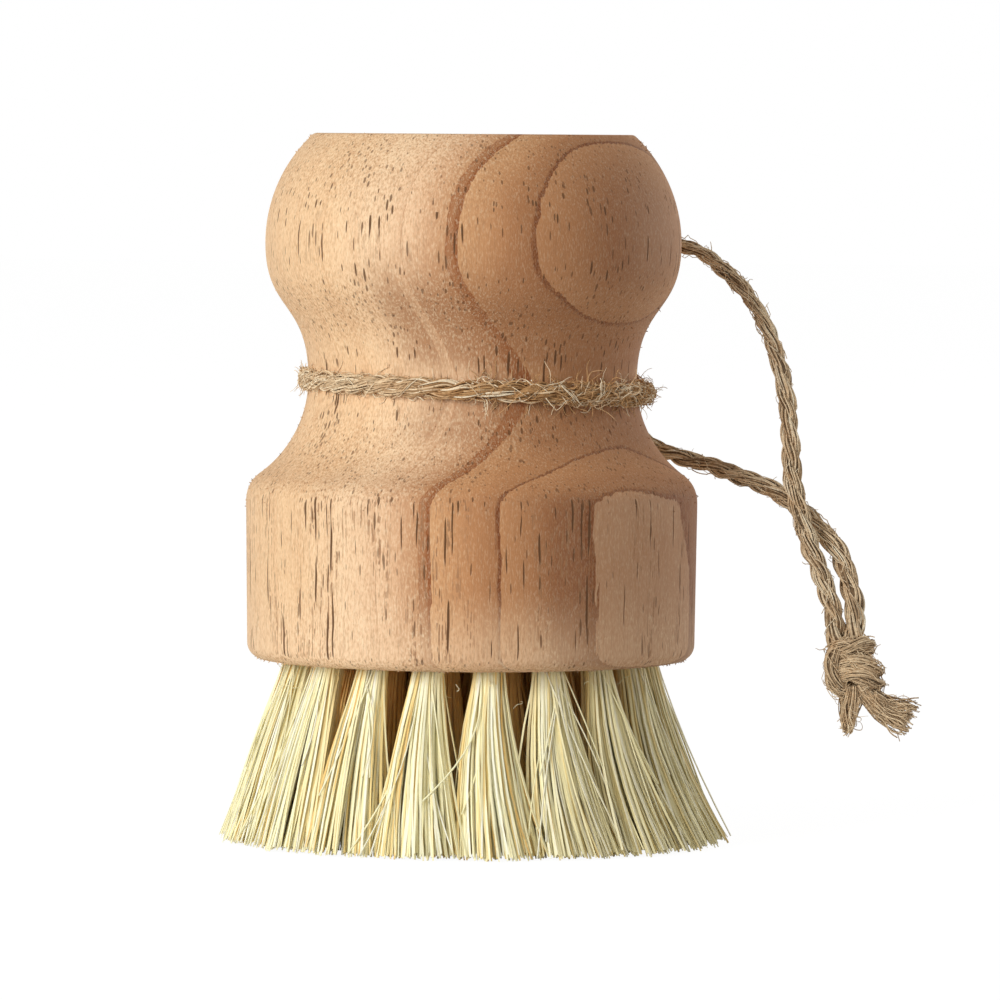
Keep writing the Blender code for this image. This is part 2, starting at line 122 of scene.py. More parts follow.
def block_outline():
    """(radius, height) points down the turned side, from the crown's softened edge to the underside."""
    bulb_z, neck_z, shoulder_z = CROWN_Z - BULB_DEPTH, CROWN_Z - NECK_DEPTH, CROWN_Z - SHOULDER_DEPTH
    crown_step = BULB_RADIUS - CROWN_RADIUS
    bulb_arc = (BULB_DEPTH**2 + crown_step**2) / (2 * crown_step)
    bulb_centre = (BULB_RADIUS - bulb_arc, bulb_z)
    crown_turn = math.atan2(BULB_DEPTH, CROWN_RADIUS - bulb_centre[0])
    bulb = arc(bulb_centre, bulb_arc, crown_turn - CROWN_EDGE_ROUND / bulb_arc, 0.0, BULB_STEPS)
    edge_start = (CROWN_RADIUS - CROWN_EDGE_ROUND, CROWN_Z)
    edge = bezier([edge_start, (CROWN_RADIUS, CROWN_Z), bulb[0]], EDGE_STEPS)
    drop = NECK_DEPTH - BULB_DEPTH
    bulb_handle = (BULB_RADIUS, bulb_z - BULB_HANDLE_SHARE * drop)
    neck_handle = (NECK_RADIUS, neck_z + NECK_HANDLE_SHARE * drop)
    throat = bezier([(BULB_RADIUS, bulb_z), bulb_handle, neck_handle, (NECK_RADIUS, neck_z)], THROAT_STEPS)
    cove_drop, cove_step = neck_z - shoulder_z, SHOULDER_RADIUS - NECK_RADIUS
    cove_arc = (cove_drop**2 + cove_step**2) / (2 * cove_step)
    cove_end = math.pi + math.asin(cove_drop / cove_arc) - SHOULDER_ROUND / cove_arc
    cove = arc((NECK_RADIUS + cove_arc, neck_z), cove_arc, math.pi, cove_end, COVE_STEPS)
    drum_top = (SHOULDER_RADIUS, shoulder_z - SHOULDER_ROUND)
    shoulder = bezier([cove[-1], (SHOULDER_RADIUS, shoulder_z), drum_top], SHOULDER_STEPS)
    rim_z = UNDERSIDE_Z + RIM_ROUND
    drum = np.linspace(drum_top, (RIM_RADIUS, rim_z), DRUM_STEPS)
    rim = arc((RIM_RADIUS - RIM_ROUND, rim_z), RIM_ROUND, 0.0, -math.pi / 2, RIM_STEPS)
    return np.concatenate([edge, bulb[1:], throat[1:], cove[1:], shoulder[1:], drum[1:], rim[1:]])


OUTLINE = block_outline()


def tufts():
    """Every tuft's name, the radius of its ring, and its bearing."""
    for name, ring_radius, count, first in TUFT_RINGS:
        for number in range(count):
            node = f"tuft_{name}_{number + 1:02d}" if count > 1 else f"tuft_{name}"
            yield node, ring_radius, first + 2 * math.pi * number / count


def flared(ring_radius, height):
    """How far out a ring's tufts are at a height. They lean outwards, the outer ones more."""
    return ring_radius * (1 + (FLARE - 1) * (UNDERSIDE_Z - height) / UNDERSIDE_Z)


def tuft_centre(ring_radius, bearing, height):
    reach = flared(ring_radius, height)
    return Vector((reach * math.cos(bearing), reach * math.sin(bearing), height))


def round_of(mesh, centre, radius, count):
    turns = [2 * math.pi * i / count for i in range(count)]
    return [mesh.verts.new(Vector(centre) + radius * Vector((math.cos(a), math.sin(a), 0.0))) for a in turns]


def wall_between(mesh, upper, lower):
    count = len(upper)
    for i in range(count):
        mesh.faces.new((upper[i], lower[i], lower[(i + 1) % count], upper[(i + 1) % count]))


def border_of(mesh, ring):
    return [mesh.edges.get(pair) or mesh.edges.new(pair) for pair in zip(ring, ring[1:] + ring[:1])]


def finished(mesh, name):
    """The worked form as a smooth mesh of its own."""
    made = bpy.data.meshes.new(name)
    mesh.to_mesh(made)
    mesh.free()
    made.shade_smooth()
    return made


def turned_block():
    """The turned solid, with a blind hole for every tuft drilled in its flat underside."""
    mesh = bmesh.new()
    rounds = [round_of(mesh, (0.0, 0.0, z), r, BLOCK_FACETS) for r, z in OUTLINE.tolist()]
    for upper, lower in zip(rounds, rounds[1:]):
        wall_between(mesh, upper, lower)
    mesh.faces.new(rounds[0])
    border = border_of(mesh, rounds[-1])
    for _, ring_radius, bearing in tufts():
        mouth = round_of(mesh, tuft_centre(ring_radius, bearing, UNDERSIDE_Z), HOLE_RADIUS, HOLE_FACETS)
        end = tuft_centre(ring_radius, bearing, UNDERSIDE_Z + HOLE_DEPTH)
        bottom = round_of(mesh, end, HOLE_RADIUS, HOLE_FACETS)
        border += border_of(mesh, mouth)
        wall_between(mesh, mouth, bottom)
        mesh.faces.new(bottom)
    bmesh.ops.triangle_fill(mesh, use_beauty=True, edges=border, normal=(0.0, 0.0, -1.0))
    bmesh.ops.recalc_face_normals(mesh, faces=mesh.faces)
    made = finished(mesh, "turned_block")
    made.set_sharp_from_angle(angle=SHARP_ANGLE)
    return made


class Flow:
    """One socket among a material's nodes. Sums, products and powers of it add their own Math nodes."""

    def __init__(self, tree, socket):
        self.tree = tree
        self.socket = socket

    def node(self, kind, settings, sockets, output=0):
        """A new node of this tree, set up and fed, as the flow out of one of its outputs."""
        made = self.tree.nodes.new(kind)
        for name, value in settings.items():
            if name == "stops":
                set_stops(made.color_ramp, value)
            else:
                setattr(made, name, value)
        for name, value in sockets.items():
            if isinstance(value, Flow):
                self.tree.links.new(value.socket, made.inputs[name])
            else:
                made.inputs[name].default_value = value
        return Flow(self.tree, made.outputs[output])

    def beside(self, output):
        """The flow out of another output of the same node."""
        return Flow(self.tree, self.socket.node.outputs[output])

    def math(self, operation, *others):
        values = dict(enumerate((self, *others)))
        return self.node("ShaderNodeMath", {"operation": operation}, values)

    def __add__(self, other):
        return self.math("ADD", other)

    def __sub__(self, other):
        return self.math("SUBTRACT", other)

    def __rsub__(self, other):
        return self.node("ShaderNodeMath", {"operation": "SUBTRACT"}, {0: other, 1: self})

    def __mul__(self, other):
        return self.math("MULTIPLY", other)

    def __truediv__(self, other):
        return self.math("DIVIDE", other)

    def __pow__(self, other):
        return self.math("POWER", other)

    __radd__, __rmul__ = __add__, __mul__

    def part(self, axis):
        """One of the three parts of this vector."""
        return self.node("ShaderNodeSeparateXYZ", {}, {"Vector": self}, axis)

    def stretched(self, shares):
        """This vector with each of its parts multiplied."""
        return self.node("ShaderNodeVectorMath", {"operation": "MULTIPLY"}, {0: self, 1: shares})

    def noise(self, across, along, detail=2.0, roughness=0.5):
        """Noise over this place, from 0 to 1, as fine as its stretch across the turned axis and along it."""
        fitted = self.stretched((across, across, along))
        sockets = {"Vector": fitted, "Scale": 1.0, "Detail": detail, "Roughness": roughness}
        return self.node("ShaderNodeTexNoise", {}, sockets)

    def rise(self, start, end, low=0.0, high=1.0):
        """A smooth step from low to high while this goes from start to end."""
        sockets = {"Value": self, "From Min": start, "From Max": end, "To Min": low, "To Max": high}
        return self.node("ShaderNodeMapRange", {"interpolation_type": "SMOOTHSTEP"}, sockets)

    def ramp(self, stops):
        """The colour at this place of a list of (place, colour) stops."""
        return self.node("ShaderNodeValToRGB", {"stops": stops}, {"Fac": self})

    def mixed(self, share, other, blend="MIX"):
        """This colour with a share of another over it."""
        settings = {"data_type": "RGBA", "blend_type": blend}
        return self.node("ShaderNodeMix", settings, {0: share, 6: self, 7: other}, 2)

    def covered(self, *layers):
        """This colour with shares of others laid over it in turn."""
        colour = self
        for share, other in layers:
            colour = colour.mixed(share, other)
        return colour

    def off_centre(self, centre=(0.0, 0.0, 0.0)):
        """How far this place is from an upright line through the centre."""
        flat = self.stretched((1.0, 1.0, 0.0))
        return flat.node("ShaderNodeVectorMath", {"operation": "DISTANCE"}, {0: flat, 1: centre}, "Value")

    def bumped(self, strength, depth):
        """The normals of a surface that is as uneven as this height, to a depth in metres."""
        return self.node("ShaderNodeBump", {}, {"Height": self, "Strength": strength, "Distance": depth})


def set_stops(ramp, stops):
    for element, (place, colour) in zip(ramp.elements, (stops[0], stops[-1])):
        element.position = place
        element.color = (*colour, 1.0)
    for place, colour in stops[1:-1]:
        ramp.elements.new(place).color = (*colour, 1.0)


def new_material(name, roughness, shine):
    """A material with its even values set, its shader, and a Flow to start its patterns from."""
    material = bpy.data.materials.new(name)
    material.use_nodes = True
    shader = material.node_tree.nodes["Principled BSDF"]
    shader.inputs["Roughness"].default_value = roughness
    shader.inputs["Specular IOR Level"].default_value = shine
    return material, shader, Flow(material.node_tree, None)


def place_in_mm(start):
    return start.node("ShaderNodeTexCoord", {}, {}, "Object").stretched((1000.0, 1000.0, 1000.0))


def feed(shader, name, flow):
    flow.tree.links.new(flow.socket, shader.inputs[name])


PITH_MM = (-26.1, 18.6, 0.0)
STRONG_LAYER_MM = 47.95
LAYER_MM = 3.96
FARTHEST_MM = 60.0
# The early wood's colour by its distance from the pith in mm, and the late wood's
EARLY_WOOD = (
    (20.0, (0.81, 0.545, 0.31)),
    (36.0, (0.81, 0.54, 0.305)),
    (41.0, (0.86, 0.60, 0.365)),
    (44.0, (0.81, 0.535, 0.32)),
    (46.0, (0.70, 0.41, 0.225)),
    (48.0, (0.61, 0.325, 0.15)),
    (50.5, (0.53, 0.252, 0.108)),
    (52.0, (0.47, 0.22, 0.094)),
    # At 54.5 mm, on the front right, the early wood is darkest: partly its own colour, partly painted shade
    (54.5, (0.30, 0.122, 0.049)),
    (56.0, (0.455, 0.25, 0.135)),
)
LATE_WOOD = (
    (20.0, (0.66, 0.36, 0.17)),
    (42.0, (0.58, 0.30, 0.14)),
    (46.0, (0.30, 0.088, 0.02)),
    (52.0, (0.17, 0.045, 0.01)),
    (57.0, (0.20, 0.065, 0.02)),
)
# How dark the line at the outer edge of the strong layer is, by the place across the layer
LINE_ACROSS = ((0.0, 0.0), (0.785, 0.0), (0.805, 0.8), (0.83, 0.54), (0.92, 0.58), (0.95, 1.0), (1.0, 1.0))
PALE_FLECK = (0.90, 0.72, 0.48, 1.0)
PALE_WOOD_AND_RIM_LIGHT = (0.86, 0.60, 0.37, 1.0)
WARM_WOOD = (0.86, 0.42, 0.17, 1.0)
DARK_FLECK = (0.30, 0.15, 0.07, 1.0)
TORN_FLECK = (0.44, 0.22, 0.10, 1.0)
# Both a stain colour and painted shade: the waist and the band under the twine are darkened with it
STAIN_AND_SHADE_WOOD = (0.34, 0.143, 0.057, 1.0)
PORE_COLOUR = (0.11, 0.05, 0.02, 1.0)
PORE_EDGE_MM = 0.035


def open_pores(place, across, along, radius, patch, fewest=0.2):
    """How much of an open vessel shows here. Vessels are short tubes along the grain, scattered in cells."""
    fitted = place.stretched((1 / across, 1 / across, 1 / along))
    distance = place.node("ShaderNodeTexVoronoi", {}, {"Vector": fitted, "Scale": 1.0})
    chance = distance.beside("Color").rise(fewest, 0.75)
    size = chance * patch * (radius / across)
    return ((size - distance) * (across / PORE_EDGE_MM)).rise(0.0, 1.0)


def turned_hardwood():
    material, shader, start = new_material("turned_hardwood", 0.7, 0.22)
    place = place_in_mm(start)
    x, z = place.part("X"), place.part("Z")
    facing_up = start.node("ShaderNodeTexCoord", {}, {}, "Normal").part("Z")
    slope = facing_up.math("ABSOLUTE").rise(0.1, 0.6)
    # The growth layers, and how they lean and wander
    wander = place.noise(0.08, 0.03, 1.0)
    fray = place.noise(2.4, 0.3, 2.0)
    leaning = 0.7 * z.rise(64.0, 76.0) + 0.9 * x.rise(3.0, 10.0) * z.rise(67.0, 77.0)
    leaning = leaning - 0.85 * x.rise(15.0, 21.0) * z.rise(26.0, 38.0) * z.rise(48.0, 42.0)
    leaning = leaning + 0.24 * x.rise(7.0, 12.0) * z.rise(40.0, 37.0)
    leaning = leaning + 0.46 * z.rise(50.0, 54.5) * z.rise(60.0, 56.5)
    reach = place.off_centre(PITH_MM) + leaning + 0.7 * (wander - 0.5) + 0.4 * (fray - 0.5)
    layer = (reach - STRONG_LAYER_MM) / LAYER_MM
    within = layer.math("FRACT")
    strength = layer.rise(-1.04, -0.96, 0.18, 1.0)
    broad_line = within.ramp([(at, (much, much, much)) for at, much in LINE_ACROSS]) * layer.rise(0.3, 0.1)
    line = broad_line.math("MAXIMUM", within.rise(0.93, 0.975))
    on_drum = z.rise(39.5, 36.5) * layer.rise(1.7, 1.2)
    late = within**2.0 * z.rise(64.0, 58.0, 0.34, 0.6) + line * (0.86 - 0.4 * on_drum)
    late = late + 0.3 * layer.rise(1.2, 1.6) * within.rise(0.4, 0.95)
    late = late + 0.16 * layer.rise(0.3, 0.9) * layer.rise(1.0, 0.99) * z.rise(50.0, 58.0)
    far = reach / FARTHEST_MM
    early_colour, late_colour = (
        far.ramp([(at / FARTHEST_MM, colour) for at, colour in stops]) for stops in (EARLY_WOOD, LATE_WOOD)
    )
    # Where the wood is browner or warmer: random stains, darker bands in the throat and at the cove's foot,
    # and painted shade and shadow
    stained = place.noise(0.12, 0.1, 2.0).rise(0.48, 0.7) * layer.rise(-0.6, 0.4, 0.35, 1.0)
    throat = z.rise(50.0, 53.5) * z.rise(66.0, 58.0) * layer.rise(-2.6, -1.3) * layer.rise(1.3, 0.5)
    cove_foot = z.rise(44.0, 40.5) * z.rise(37.5, 39.5)
    # Painted shade: the waist darkened on the front right, which faces away from the key lamp
    waist_shade = z.rise(40.0, 43.0) * z.rise(60.0, 55.0) * layer.rise(-0.4, 0.9)
    # Painted shadow: the wood just under the twine round the neck darkened
    twine_shadow = z.rise(42.5, 45.0) * z.rise(49.5, 48.0) * layer.rise(-2.4, -1.0)
    stain_and_shade = stained * 0.28 + throat * 0.74 + cove_foot * 0.16 + waist_shade * 0.56 + twine_shadow * 0.56
    stain_and_shade = stain_and_shade.math("MINIMUM", 0.9) * (1.0 - 0.75 * line)
    warmed = (on_drum * 0.1 + cove_foot * 0.18) * layer.rise(-0.4, 0.2) * (1.0 - line)
    # Streaks, the grain's flecks, and what the tool tore
    streaks = place.noise(4.0, 0.2, 3.0, 0.6)
    grain = place.noise(6.5, 1.7, 1.0)
    paler = layer.rise(0.6, -0.5, 0.45, 1.0)
    sway = place.noise(0.25, 0.2, 1.0).beside("Color")
    swayed = {0: sway, 1: (0.5, 0.5, 0.0), 2: place}
    bent = sway.node("ShaderNodeVectorMath", {"operation": "MULTIPLY_ADD"}, swayed)
    patch = place.noise(0.3, 0.035, 1.0)
    dashes = bent.noise(5.0, 0.16, 1.0).rise(0.54, 0.62)
    dashes = dashes * place.noise(2.0, 1.2, 1.0).rise(0.4, 0.52) * patch.rise(0.42, 0.58)
    dashes = dashes * (0.85 - 0.6 * slope) * (1.0 - 0.65 * z.rise(44.0, 50.0))
    torn = place.noise(4.2, 2.1, 2.0, 0.6)
    woolly = place.noise(0.3, 0.25, 1.0).rise(0.5, 0.6) * z.rise(29.0, 22.0)
    plenty = patch.rise(0.35, 0.65, 0.7, 1.2)
    long_pores = open_pores(bent, 0.48, 14.0, 0.14, plenty)
    short_pores = open_pores(bent, 0.45, 3.6, 0.12, plenty, 0.4)
    pores = long_pores.math("MAXIMUM", short_pores * 0.75) * (1.0 - 0.4 * slope)
    colour = early_colour.covered(
        (late * strength, late_colour),
        (stain_and_shade, STAIN_AND_SHADE_WOOD),
        (warmed, WARM_WOOD),
        # Painted light: the right flank is made paler at the throat's height, as the weak lamp from the right
        # behind lights it
        (0.14 * x.rise(14.0, 21.0) * z.rise(52.0, 58.0), PALE_WOOD_AND_RIM_LIGHT),
        (z.rise(29.0, 20.5) * layer.rise(2.1, 1.4, 0.25, 0.55), PALE_WOOD_AND_RIM_LIGHT),
        (streaks.rise(0.5, 0.75) * 0.35, DARK_FLECK),
        (grain.rise(0.52, 0.70) * 0.38, TORN_FLECK),
        (grain.rise(0.48, 0.30) * 0.3 * paler, PALE_FLECK),
        (dashes, DARK_FLECK),
        (torn.rise(0.5, 0.36) * (0.16 + 0.34 * slope), TORN_FLECK),
        (torn.rise(0.52, 0.66) * (0.15 + 0.17 * slope + 0.4 * woolly) * paler, PALE_FLECK),
        (pores * 0.95, PORE_COLOUR),
    )
    feed(shader, "Base Color", colour)
    feed(shader, "Roughness", 0.66 + 0.2 * pores + 0.08 * slope)
    height = torn * (0.25 + 0.6 * slope) + streaks * 0.3 + grain * 0.3 - pores
    feed(shader, "Normal", height.bumped(0.6, 0.00012))
    return material


def add_piece(name, mesh, material, body):
    mesh.name = name
    mesh.materials.append(material)
    piece = placed(name, mesh)
    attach(piece, body)
    return piece


HARDWOOD = turned_hardwood()
block = add_piece("turned_handle_block", turned_block(), HARDWOOD, "brush")
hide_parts("handle_block")


# Torn grain of the handle block
# The lathe leaves the end grain slightly furry where it cuts across the fibres: short slivers of the same
# wood stand up along the lower rim, on the shoulder, in the throat and cove, and on the edge of the crown.
SLIVER_RADIUS = 0.00007
SLIVER_SUNK = 0.00004
SLIVER_STEPS = 5
UPWARDS = np.array([0.0, 0.0, 1.0])
STRIP_THICKNESS = 0.35
# Where slivers stand: between two heights, how far they lean outwards and upwards, how many, and how long
SLIVER_BANDS = (
    (0.0195, 0.0198, 0.1, -0.8, 360, 0.00022),
    (0.0360, 0.0400, 0.8, 0.6, 340, 0.0002),
    (0.0745, 0.0766, 0.6, 0.9, 260, 0.00020),
    (0.0415, 0.0470, 0.7, 0.7, 240, 0.00022),
    (0.0535, 0.0600, 0.8, -0.5, 200, 0.00022),
)


def outwards(bearing):
    """The level directions at some bearings."""
    return np.stack([np.cos(bearing), np.sin(bearing), np.zeros_like(bearing)], axis=-1)


def swung(side, up, turn):
    """The directions at a turn from side towards up."""
    return np.cos(turn)[..., None] * side + np.sin(turn)[..., None] * up


def unit(vectors):
    return vectors / np.linalg.norm(vectors, axis=-1, keepdims=True)


def joined(bundles):
    """Several bundles of fibres with the same number of steps as one."""
    return tuple(np.concatenate(parts) for parts in zip(*bundles))


def carried_frame(path):
    """The directions along a path, and two across it that turn no more than the path does."""
    along = unit(np.gradient(path, axis=-2))
    least = np.eye(3)[np.argmin(np.abs(along[..., 0, :]), axis=-1)]
    across = np.cross(along[..., 0, :], least)
    sides = []
    for step in range(path.shape[-2]):
        ahead = along[..., step, :]
        across = unit(across - np.sum(across * ahead, axis=-1, keepdims=True) * ahead)
        sides.append(across)
    side = np.stack(sides, axis=-2)
    return along, side, np.cross(along, side)


def fibre_mesh(name, centres, radii, shades, facing=None, sides=4):
    """Many thin closed fibres as one mesh: their middles by fibre and step, their radii and their shades.

    With the way that each one faces, they are flat strips instead of round fibres.
    """
    count, steps, _ = centres.shape
    radii = np.broadcast_to(radii, (count, steps))
    along, side, up = carried_frame(centres)
    turns = 2 * np.pi * np.arange(sides) / sides
    if facing is not None:
        side = unit(np.cross(facing[:, None], along))
        up = STRIP_THICKNESS * np.cross(along, side)
        turns = turns + np.pi / sides
    outward = swung(side[:, :, None], up[:, :, None], turns)
    points = centres[:, :, None] + radii[:, :, None, None] * outward
    corner = np.arange(count * steps * sides).reshape(count, steps, sides)
    turned = np.roll(corner, -1, axis=2)
    walls = np.stack([corner[:, :-1], turned[:, :-1], turned[:, 1:], corner[:, 1:]], axis=-1).reshape(-1, 4)
    caps = []
    for i in range(1, sides - 1, 2):
        caps.append(corner[:, 0][:, [i + 2, i + 1, i, 0]])
        caps.append(corner[:, -1][:, [0, i, i + 1, i + 2]])
    quads = np.concatenate([walls] + caps).astype(np.int32)
    mesh = bpy.data.meshes.new(name)
    mesh.vertices.add(points.size // 3)
    mesh.vertices.foreach_set("co", points.astype(np.float32).ravel())
    mesh.loops.add(quads.size)
    mesh.loops.foreach_set("vertex_index", quads.ravel())
    mesh.polygons.add(len(quads))
    mesh.polygons.foreach_set("loop_start", np.arange(0, quads.size, 4, dtype=np.int32))
    mesh.update(calc_edges=True)
    shade = mesh.attributes.new("shade", "FLOAT", "POINT")
    shade.data.foreach_set("value", np.repeat(np.asarray(shades, dtype=np.float32), steps * sides))
    mesh.shade_smooth()
    if facing is not None:
        mesh.set_sharp_from_angle(angle=SHARP_ANGLE)
    return mesh


def straying(rng, roots, headings, lengths, curl, steps):
    """Paths that start at the roots and wander off their headings, as loose fibres do."""
    ahead = unit(headings)
    bend = rng.normal(size=roots.shape)
    path = [roots]
    for _ in range(steps - 1):
        bend = 0.7 * bend + 0.7 * rng.normal(size=roots.shape)
        ahead = unit(ahead + curl * bend)
        path.append(path[-1] + ahead * (lengths / (steps - 1))[:, None])
    return np.stack(path, axis=1)


def wood_reach(heights):
    """How far the turned side is from its axis at some heights."""
    return np.interp(heights, OUTLINE[::-1, 1], OUTLINE[::-1, 0])


def torn_grain():
    rng = np.random.default_rng(11)
    bands = []
    for low, high, leaning_out, leaning_up, count, length in SLIVER_BANDS:
        height = rng.uniform(low, high, count)
        out = outwards(rng.uniform(0.0, 2 * np.pi, count))
        root = out * (wood_reach(height) - SLIVER_SUNK)[:, None] + height[:, None] * UPWARDS
        heading = out * leaning_out + UPWARDS * leaning_up + 0.5 * rng.normal(size=(count, 3))
        bands.append((root, heading, length * rng.uniform(0.5, 1.6, count)))
    roots, headings, lengths = joined(bands)
    paths = straying(rng, roots, headings, lengths, 0.25, SLIVER_STEPS)
    radii = SLIVER_RADIUS * rng.uniform(0.5, 1.2, (len(roots), 1)) * np.linspace(1.0, 0.3, SLIVER_STEPS)
    return fibre_mesh("torn_grain", paths, radii, rng.uniform(0.0, 1.0, len(roots)))


add_piece("torn_grain_slivers", torn_grain(), HARDWOOD, "brush")


# Fibre tufts
# Bundles of stiff, pale palm fibre, each folded in half over a short flat wire and driven into its hole, then
# trimmed level. They splay as they leave the wood. The inner ones are shaded, and that shade is painted into
# their colour as golden brown.
FIBRES_IN_TUFT = 300
ROOT_REACH = 0.00155
TIP_REACH_ROUND = 0.0045
FOLD_Z = 0.0273
FIBRE_STEPS = 7
STRAY_SHARE = 0.05
STRAY_REACH = 2.6
SPLAY_START = 0.0008
TIP_STRAY_OUT = 0.00028
TIP_STRAY_ROUND = 0.00052
FIBRE_BOW = 0.00022
FIBRE_RADII = (0.00011, 0.00019)
BRUSHED_ASIDE = 0.0004
BOWED_IN = 0.0004
FIBRE_COLOURS = (
    (0.0, (0.84, 0.54, 0.17)),
    (0.08, (0.92, 0.72, 0.31)),
    (0.2, (0.97, 0.88, 0.52)),
    (0.6, (0.98, 0.93, 0.60)),
    (0.85, (0.98, 0.95, 0.69)),
    (1.0, (0.98, 0.97, 0.82)),
)
DULL_FIBRE = (0.90, 0.76, 0.40, 1.0)
SHADED_FIBRE = (0.97, 0.64, 0.19, 1.0)
SHADED_ROOT_FIBRE = (0.80, 0.42, 0.11, 1.0)
SHADED_RIGHT_FIBRE = (0.60, 0.49, 0.22, 1.0)


def fibre_shade(start):
    """The shade that each fibre of a mesh was given."""
    return start.node("ShaderNodeAttribute", {"attribute_name": "shade"}, {}, "Fac")


def palm_fibre():
    material, shader, start = new_material("palm_fibre", 0.5, 0.35)
    place = place_in_mm(start)
    z = place.part("Z")
    outer_tips_mm = 27.5 - 0.3615 * z
    # Painted shade: fibres inside the outer tufts are golden, and browner near the wood
    inner = (place.off_centre() / outer_tips_mm).rise(0.93, 0.76) * z.rise(1.0, 9.0)
    mottled = place.noise(3.0, 0.6, 2.0)
    colour = fibre_shade(start).ramp(FIBRE_COLOURS).covered(
        (mottled.rise(0.5, 0.75) * 0.4, DULL_FIBRE),
        # Painted shade: tufts on the right side are darker and olive
        (place.part("X").rise(4.0, 15.0) * 0.4, SHADED_RIGHT_FIBRE),
        (inner * 0.85, SHADED_FIBRE),
        (inner * z.rise(9.0, 19.0) * 0.8, SHADED_ROOT_FIBRE),
    )
    feed(shader, "Base Color", colour)
    feed(shader, "Roughness", 0.42 + 0.25 * mottled)
    feed(shader, "Normal", mottled.bumped(0.4, 0.00004))
    return material


def tuft_fibres(rng, ring_radius, bearing, count):
    """Middles, radii, shades and facings of one tuft's fibres, from its fold to its trimmed ends."""
    turn = rng.uniform(0.0, 2 * np.pi, count)
    spread = rng.uniform(0.0, 1.0, count) ** 0.4
    out, beside = spread * np.cos(turn), spread * np.sin(turn)
    stray = np.where(rng.uniform(size=count) < STRAY_SHARE, STRAY_REACH, 1.0)
    heights = np.concatenate([[FOLD_Z], np.linspace(UNDERSIDE_Z + SPLAY_START, 0.0, FIBRE_STEPS)])
    gone = np.clip((UNDERSIDE_Z - heights) / UNDERSIDE_Z, 0.0, 1.0)
    tip_out = out * TUFT_TIP_REACH_OUT * 0.95 + stray * rng.normal(0.0, TIP_STRAY_OUT, count)
    tip_beside = beside * TIP_REACH_ROUND * 1.02 + stray * rng.normal(0.0, TIP_STRAY_ROUND, count)
    bow = rng.normal(0.0, FIBRE_BOW, (2, count, 1)) * np.sin(np.pi * gone)
    local_out = ROOT_REACH * out[:, None] * (1 - gone) + tip_out[:, None] * gone + bow[0]
    local_beside = ROOT_REACH * beside[:, None] * (1 - gone) + tip_beside[:, None] * gone + bow[1]
    reach = local_out + flared(ring_radius, heights)
    leaning = BRUSHED_ASIDE * gone**2 - BOWED_IN * np.sin(np.pi * gone)
    x = reach * math.cos(bearing) - local_beside * math.sin(bearing) + leaning * (1 + math.cos(bearing))
    y = reach * math.sin(bearing) + local_beside * math.cos(bearing)
    uneven = np.clip(rng.normal(0.0001, 0.00022, (count, 1)), -0.0003, 0.0006)
    radii = rng.uniform(*FIBRE_RADII, (count, 1)) * np.append(np.ones(FIBRE_STEPS), 0.85)
    facing = outwards(bearing + np.arctan2(beside, out + 0.7) + rng.normal(0.0, 0.24, count))
    # Painted shade: fibres at a tuft's flanks get a lower, golden shade, for the valleys between tufts
    shades = rng.uniform(0.0, 1.0, count) * (1 - 0.8 * np.clip(4 * np.abs(beside) - 3, 0.0, 1.0))
    return np.stack([x, y, heights + gone * uneven], axis=-1), radii, shades, facing


PALM_FIBRE = palm_fibre()
tuft_rng = np.random.default_rng(5)
for node, ring_radius, bearing in tufts():
    mesh = fibre_mesh(node, *tuft_fibres(tuft_rng, ring_radius, bearing, FIBRES_IN_TUFT))
    tuft = add_piece(node + "_fibres", mesh, PALM_FIBRE, "brush")
    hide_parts(node)


# Stray fibres
# Some fibres of the outer tufts stand out of line and reach across to the next tuft, and finer ones curl
# close under the wood. Trimming only took their length.
CROSSING_FIBRES = 60
CURLED_FIBRES = 40
CROSSING_STEPS = 12
CROSSING_START_Z = UNDERSIDE_Z + 0.0006


def crossing_fibres(rng):
    """Middles, radii and shades of fibres that bow over from one tuft of the outer ring to the next."""
    _, ring_radius, ring_count, first = TUFT_RINGS[0]
    pitch = 2 * np.pi / ring_count
    count = CROSSING_FIBRES
    start = first + pitch * rng.integers(0, ring_count, count) + rng.uniform(-0.07, 0.07, count)
    reached = rng.choice([-1.0, 1.0], count) * rng.uniform(0.25, 0.8, count) * pitch
    end_height = np.where(rng.uniform(size=count) < 0.5, 0.0, rng.uniform(0.0, 0.009, count))
    gone = np.linspace(0.0, 1.0, CROSSING_STEPS)
    height = CROSSING_START_Z - (CROSSING_START_Z - end_height)[:, None] * gone
    bowed = np.sin(np.pi * gone) * rng.normal(0.0, 0.045, (count, 1))
    bearing = start[:, None] + reached[:, None] * gone + bowed
    outside = rng.uniform(0.0009, 0.0014, (count, 1)) * (1 + 0.9 * gone)
    reach = flared(ring_radius, height) + outside
    centres = np.stack([reach * np.cos(bearing), reach * np.sin(bearing), height], axis=-1)
    return centres, rng.uniform(0.00007, 0.00011, (count, 1)), rng.uniform(0.5, 1.0, count)


def curled_fibres(rng):
    count = CURLED_FIBRES
    out = outwards(rng.uniform(0.0, 2 * np.pi, count))
    height = rng.uniform(0.0145, 0.019, count)
    roots = out * rng.uniform(0.0185, 0.0205, (count, 1)) + height[:, None] * UPWARDS
    headings = 0.3 * out + rng.normal(size=(count, 3)) * np.array([1.0, 1.0, 0.7])
    paths = straying(rng, roots, headings, rng.uniform(0.001, 0.0035, count), 0.4, CROSSING_STEPS)
    paths[..., 2] = np.minimum(paths[..., 2], UNDERSIDE_Z - 0.0001)
    return paths, rng.uniform(0.00003, 0.00006, (count, 1)), rng.uniform(0.0, 0.9, count)


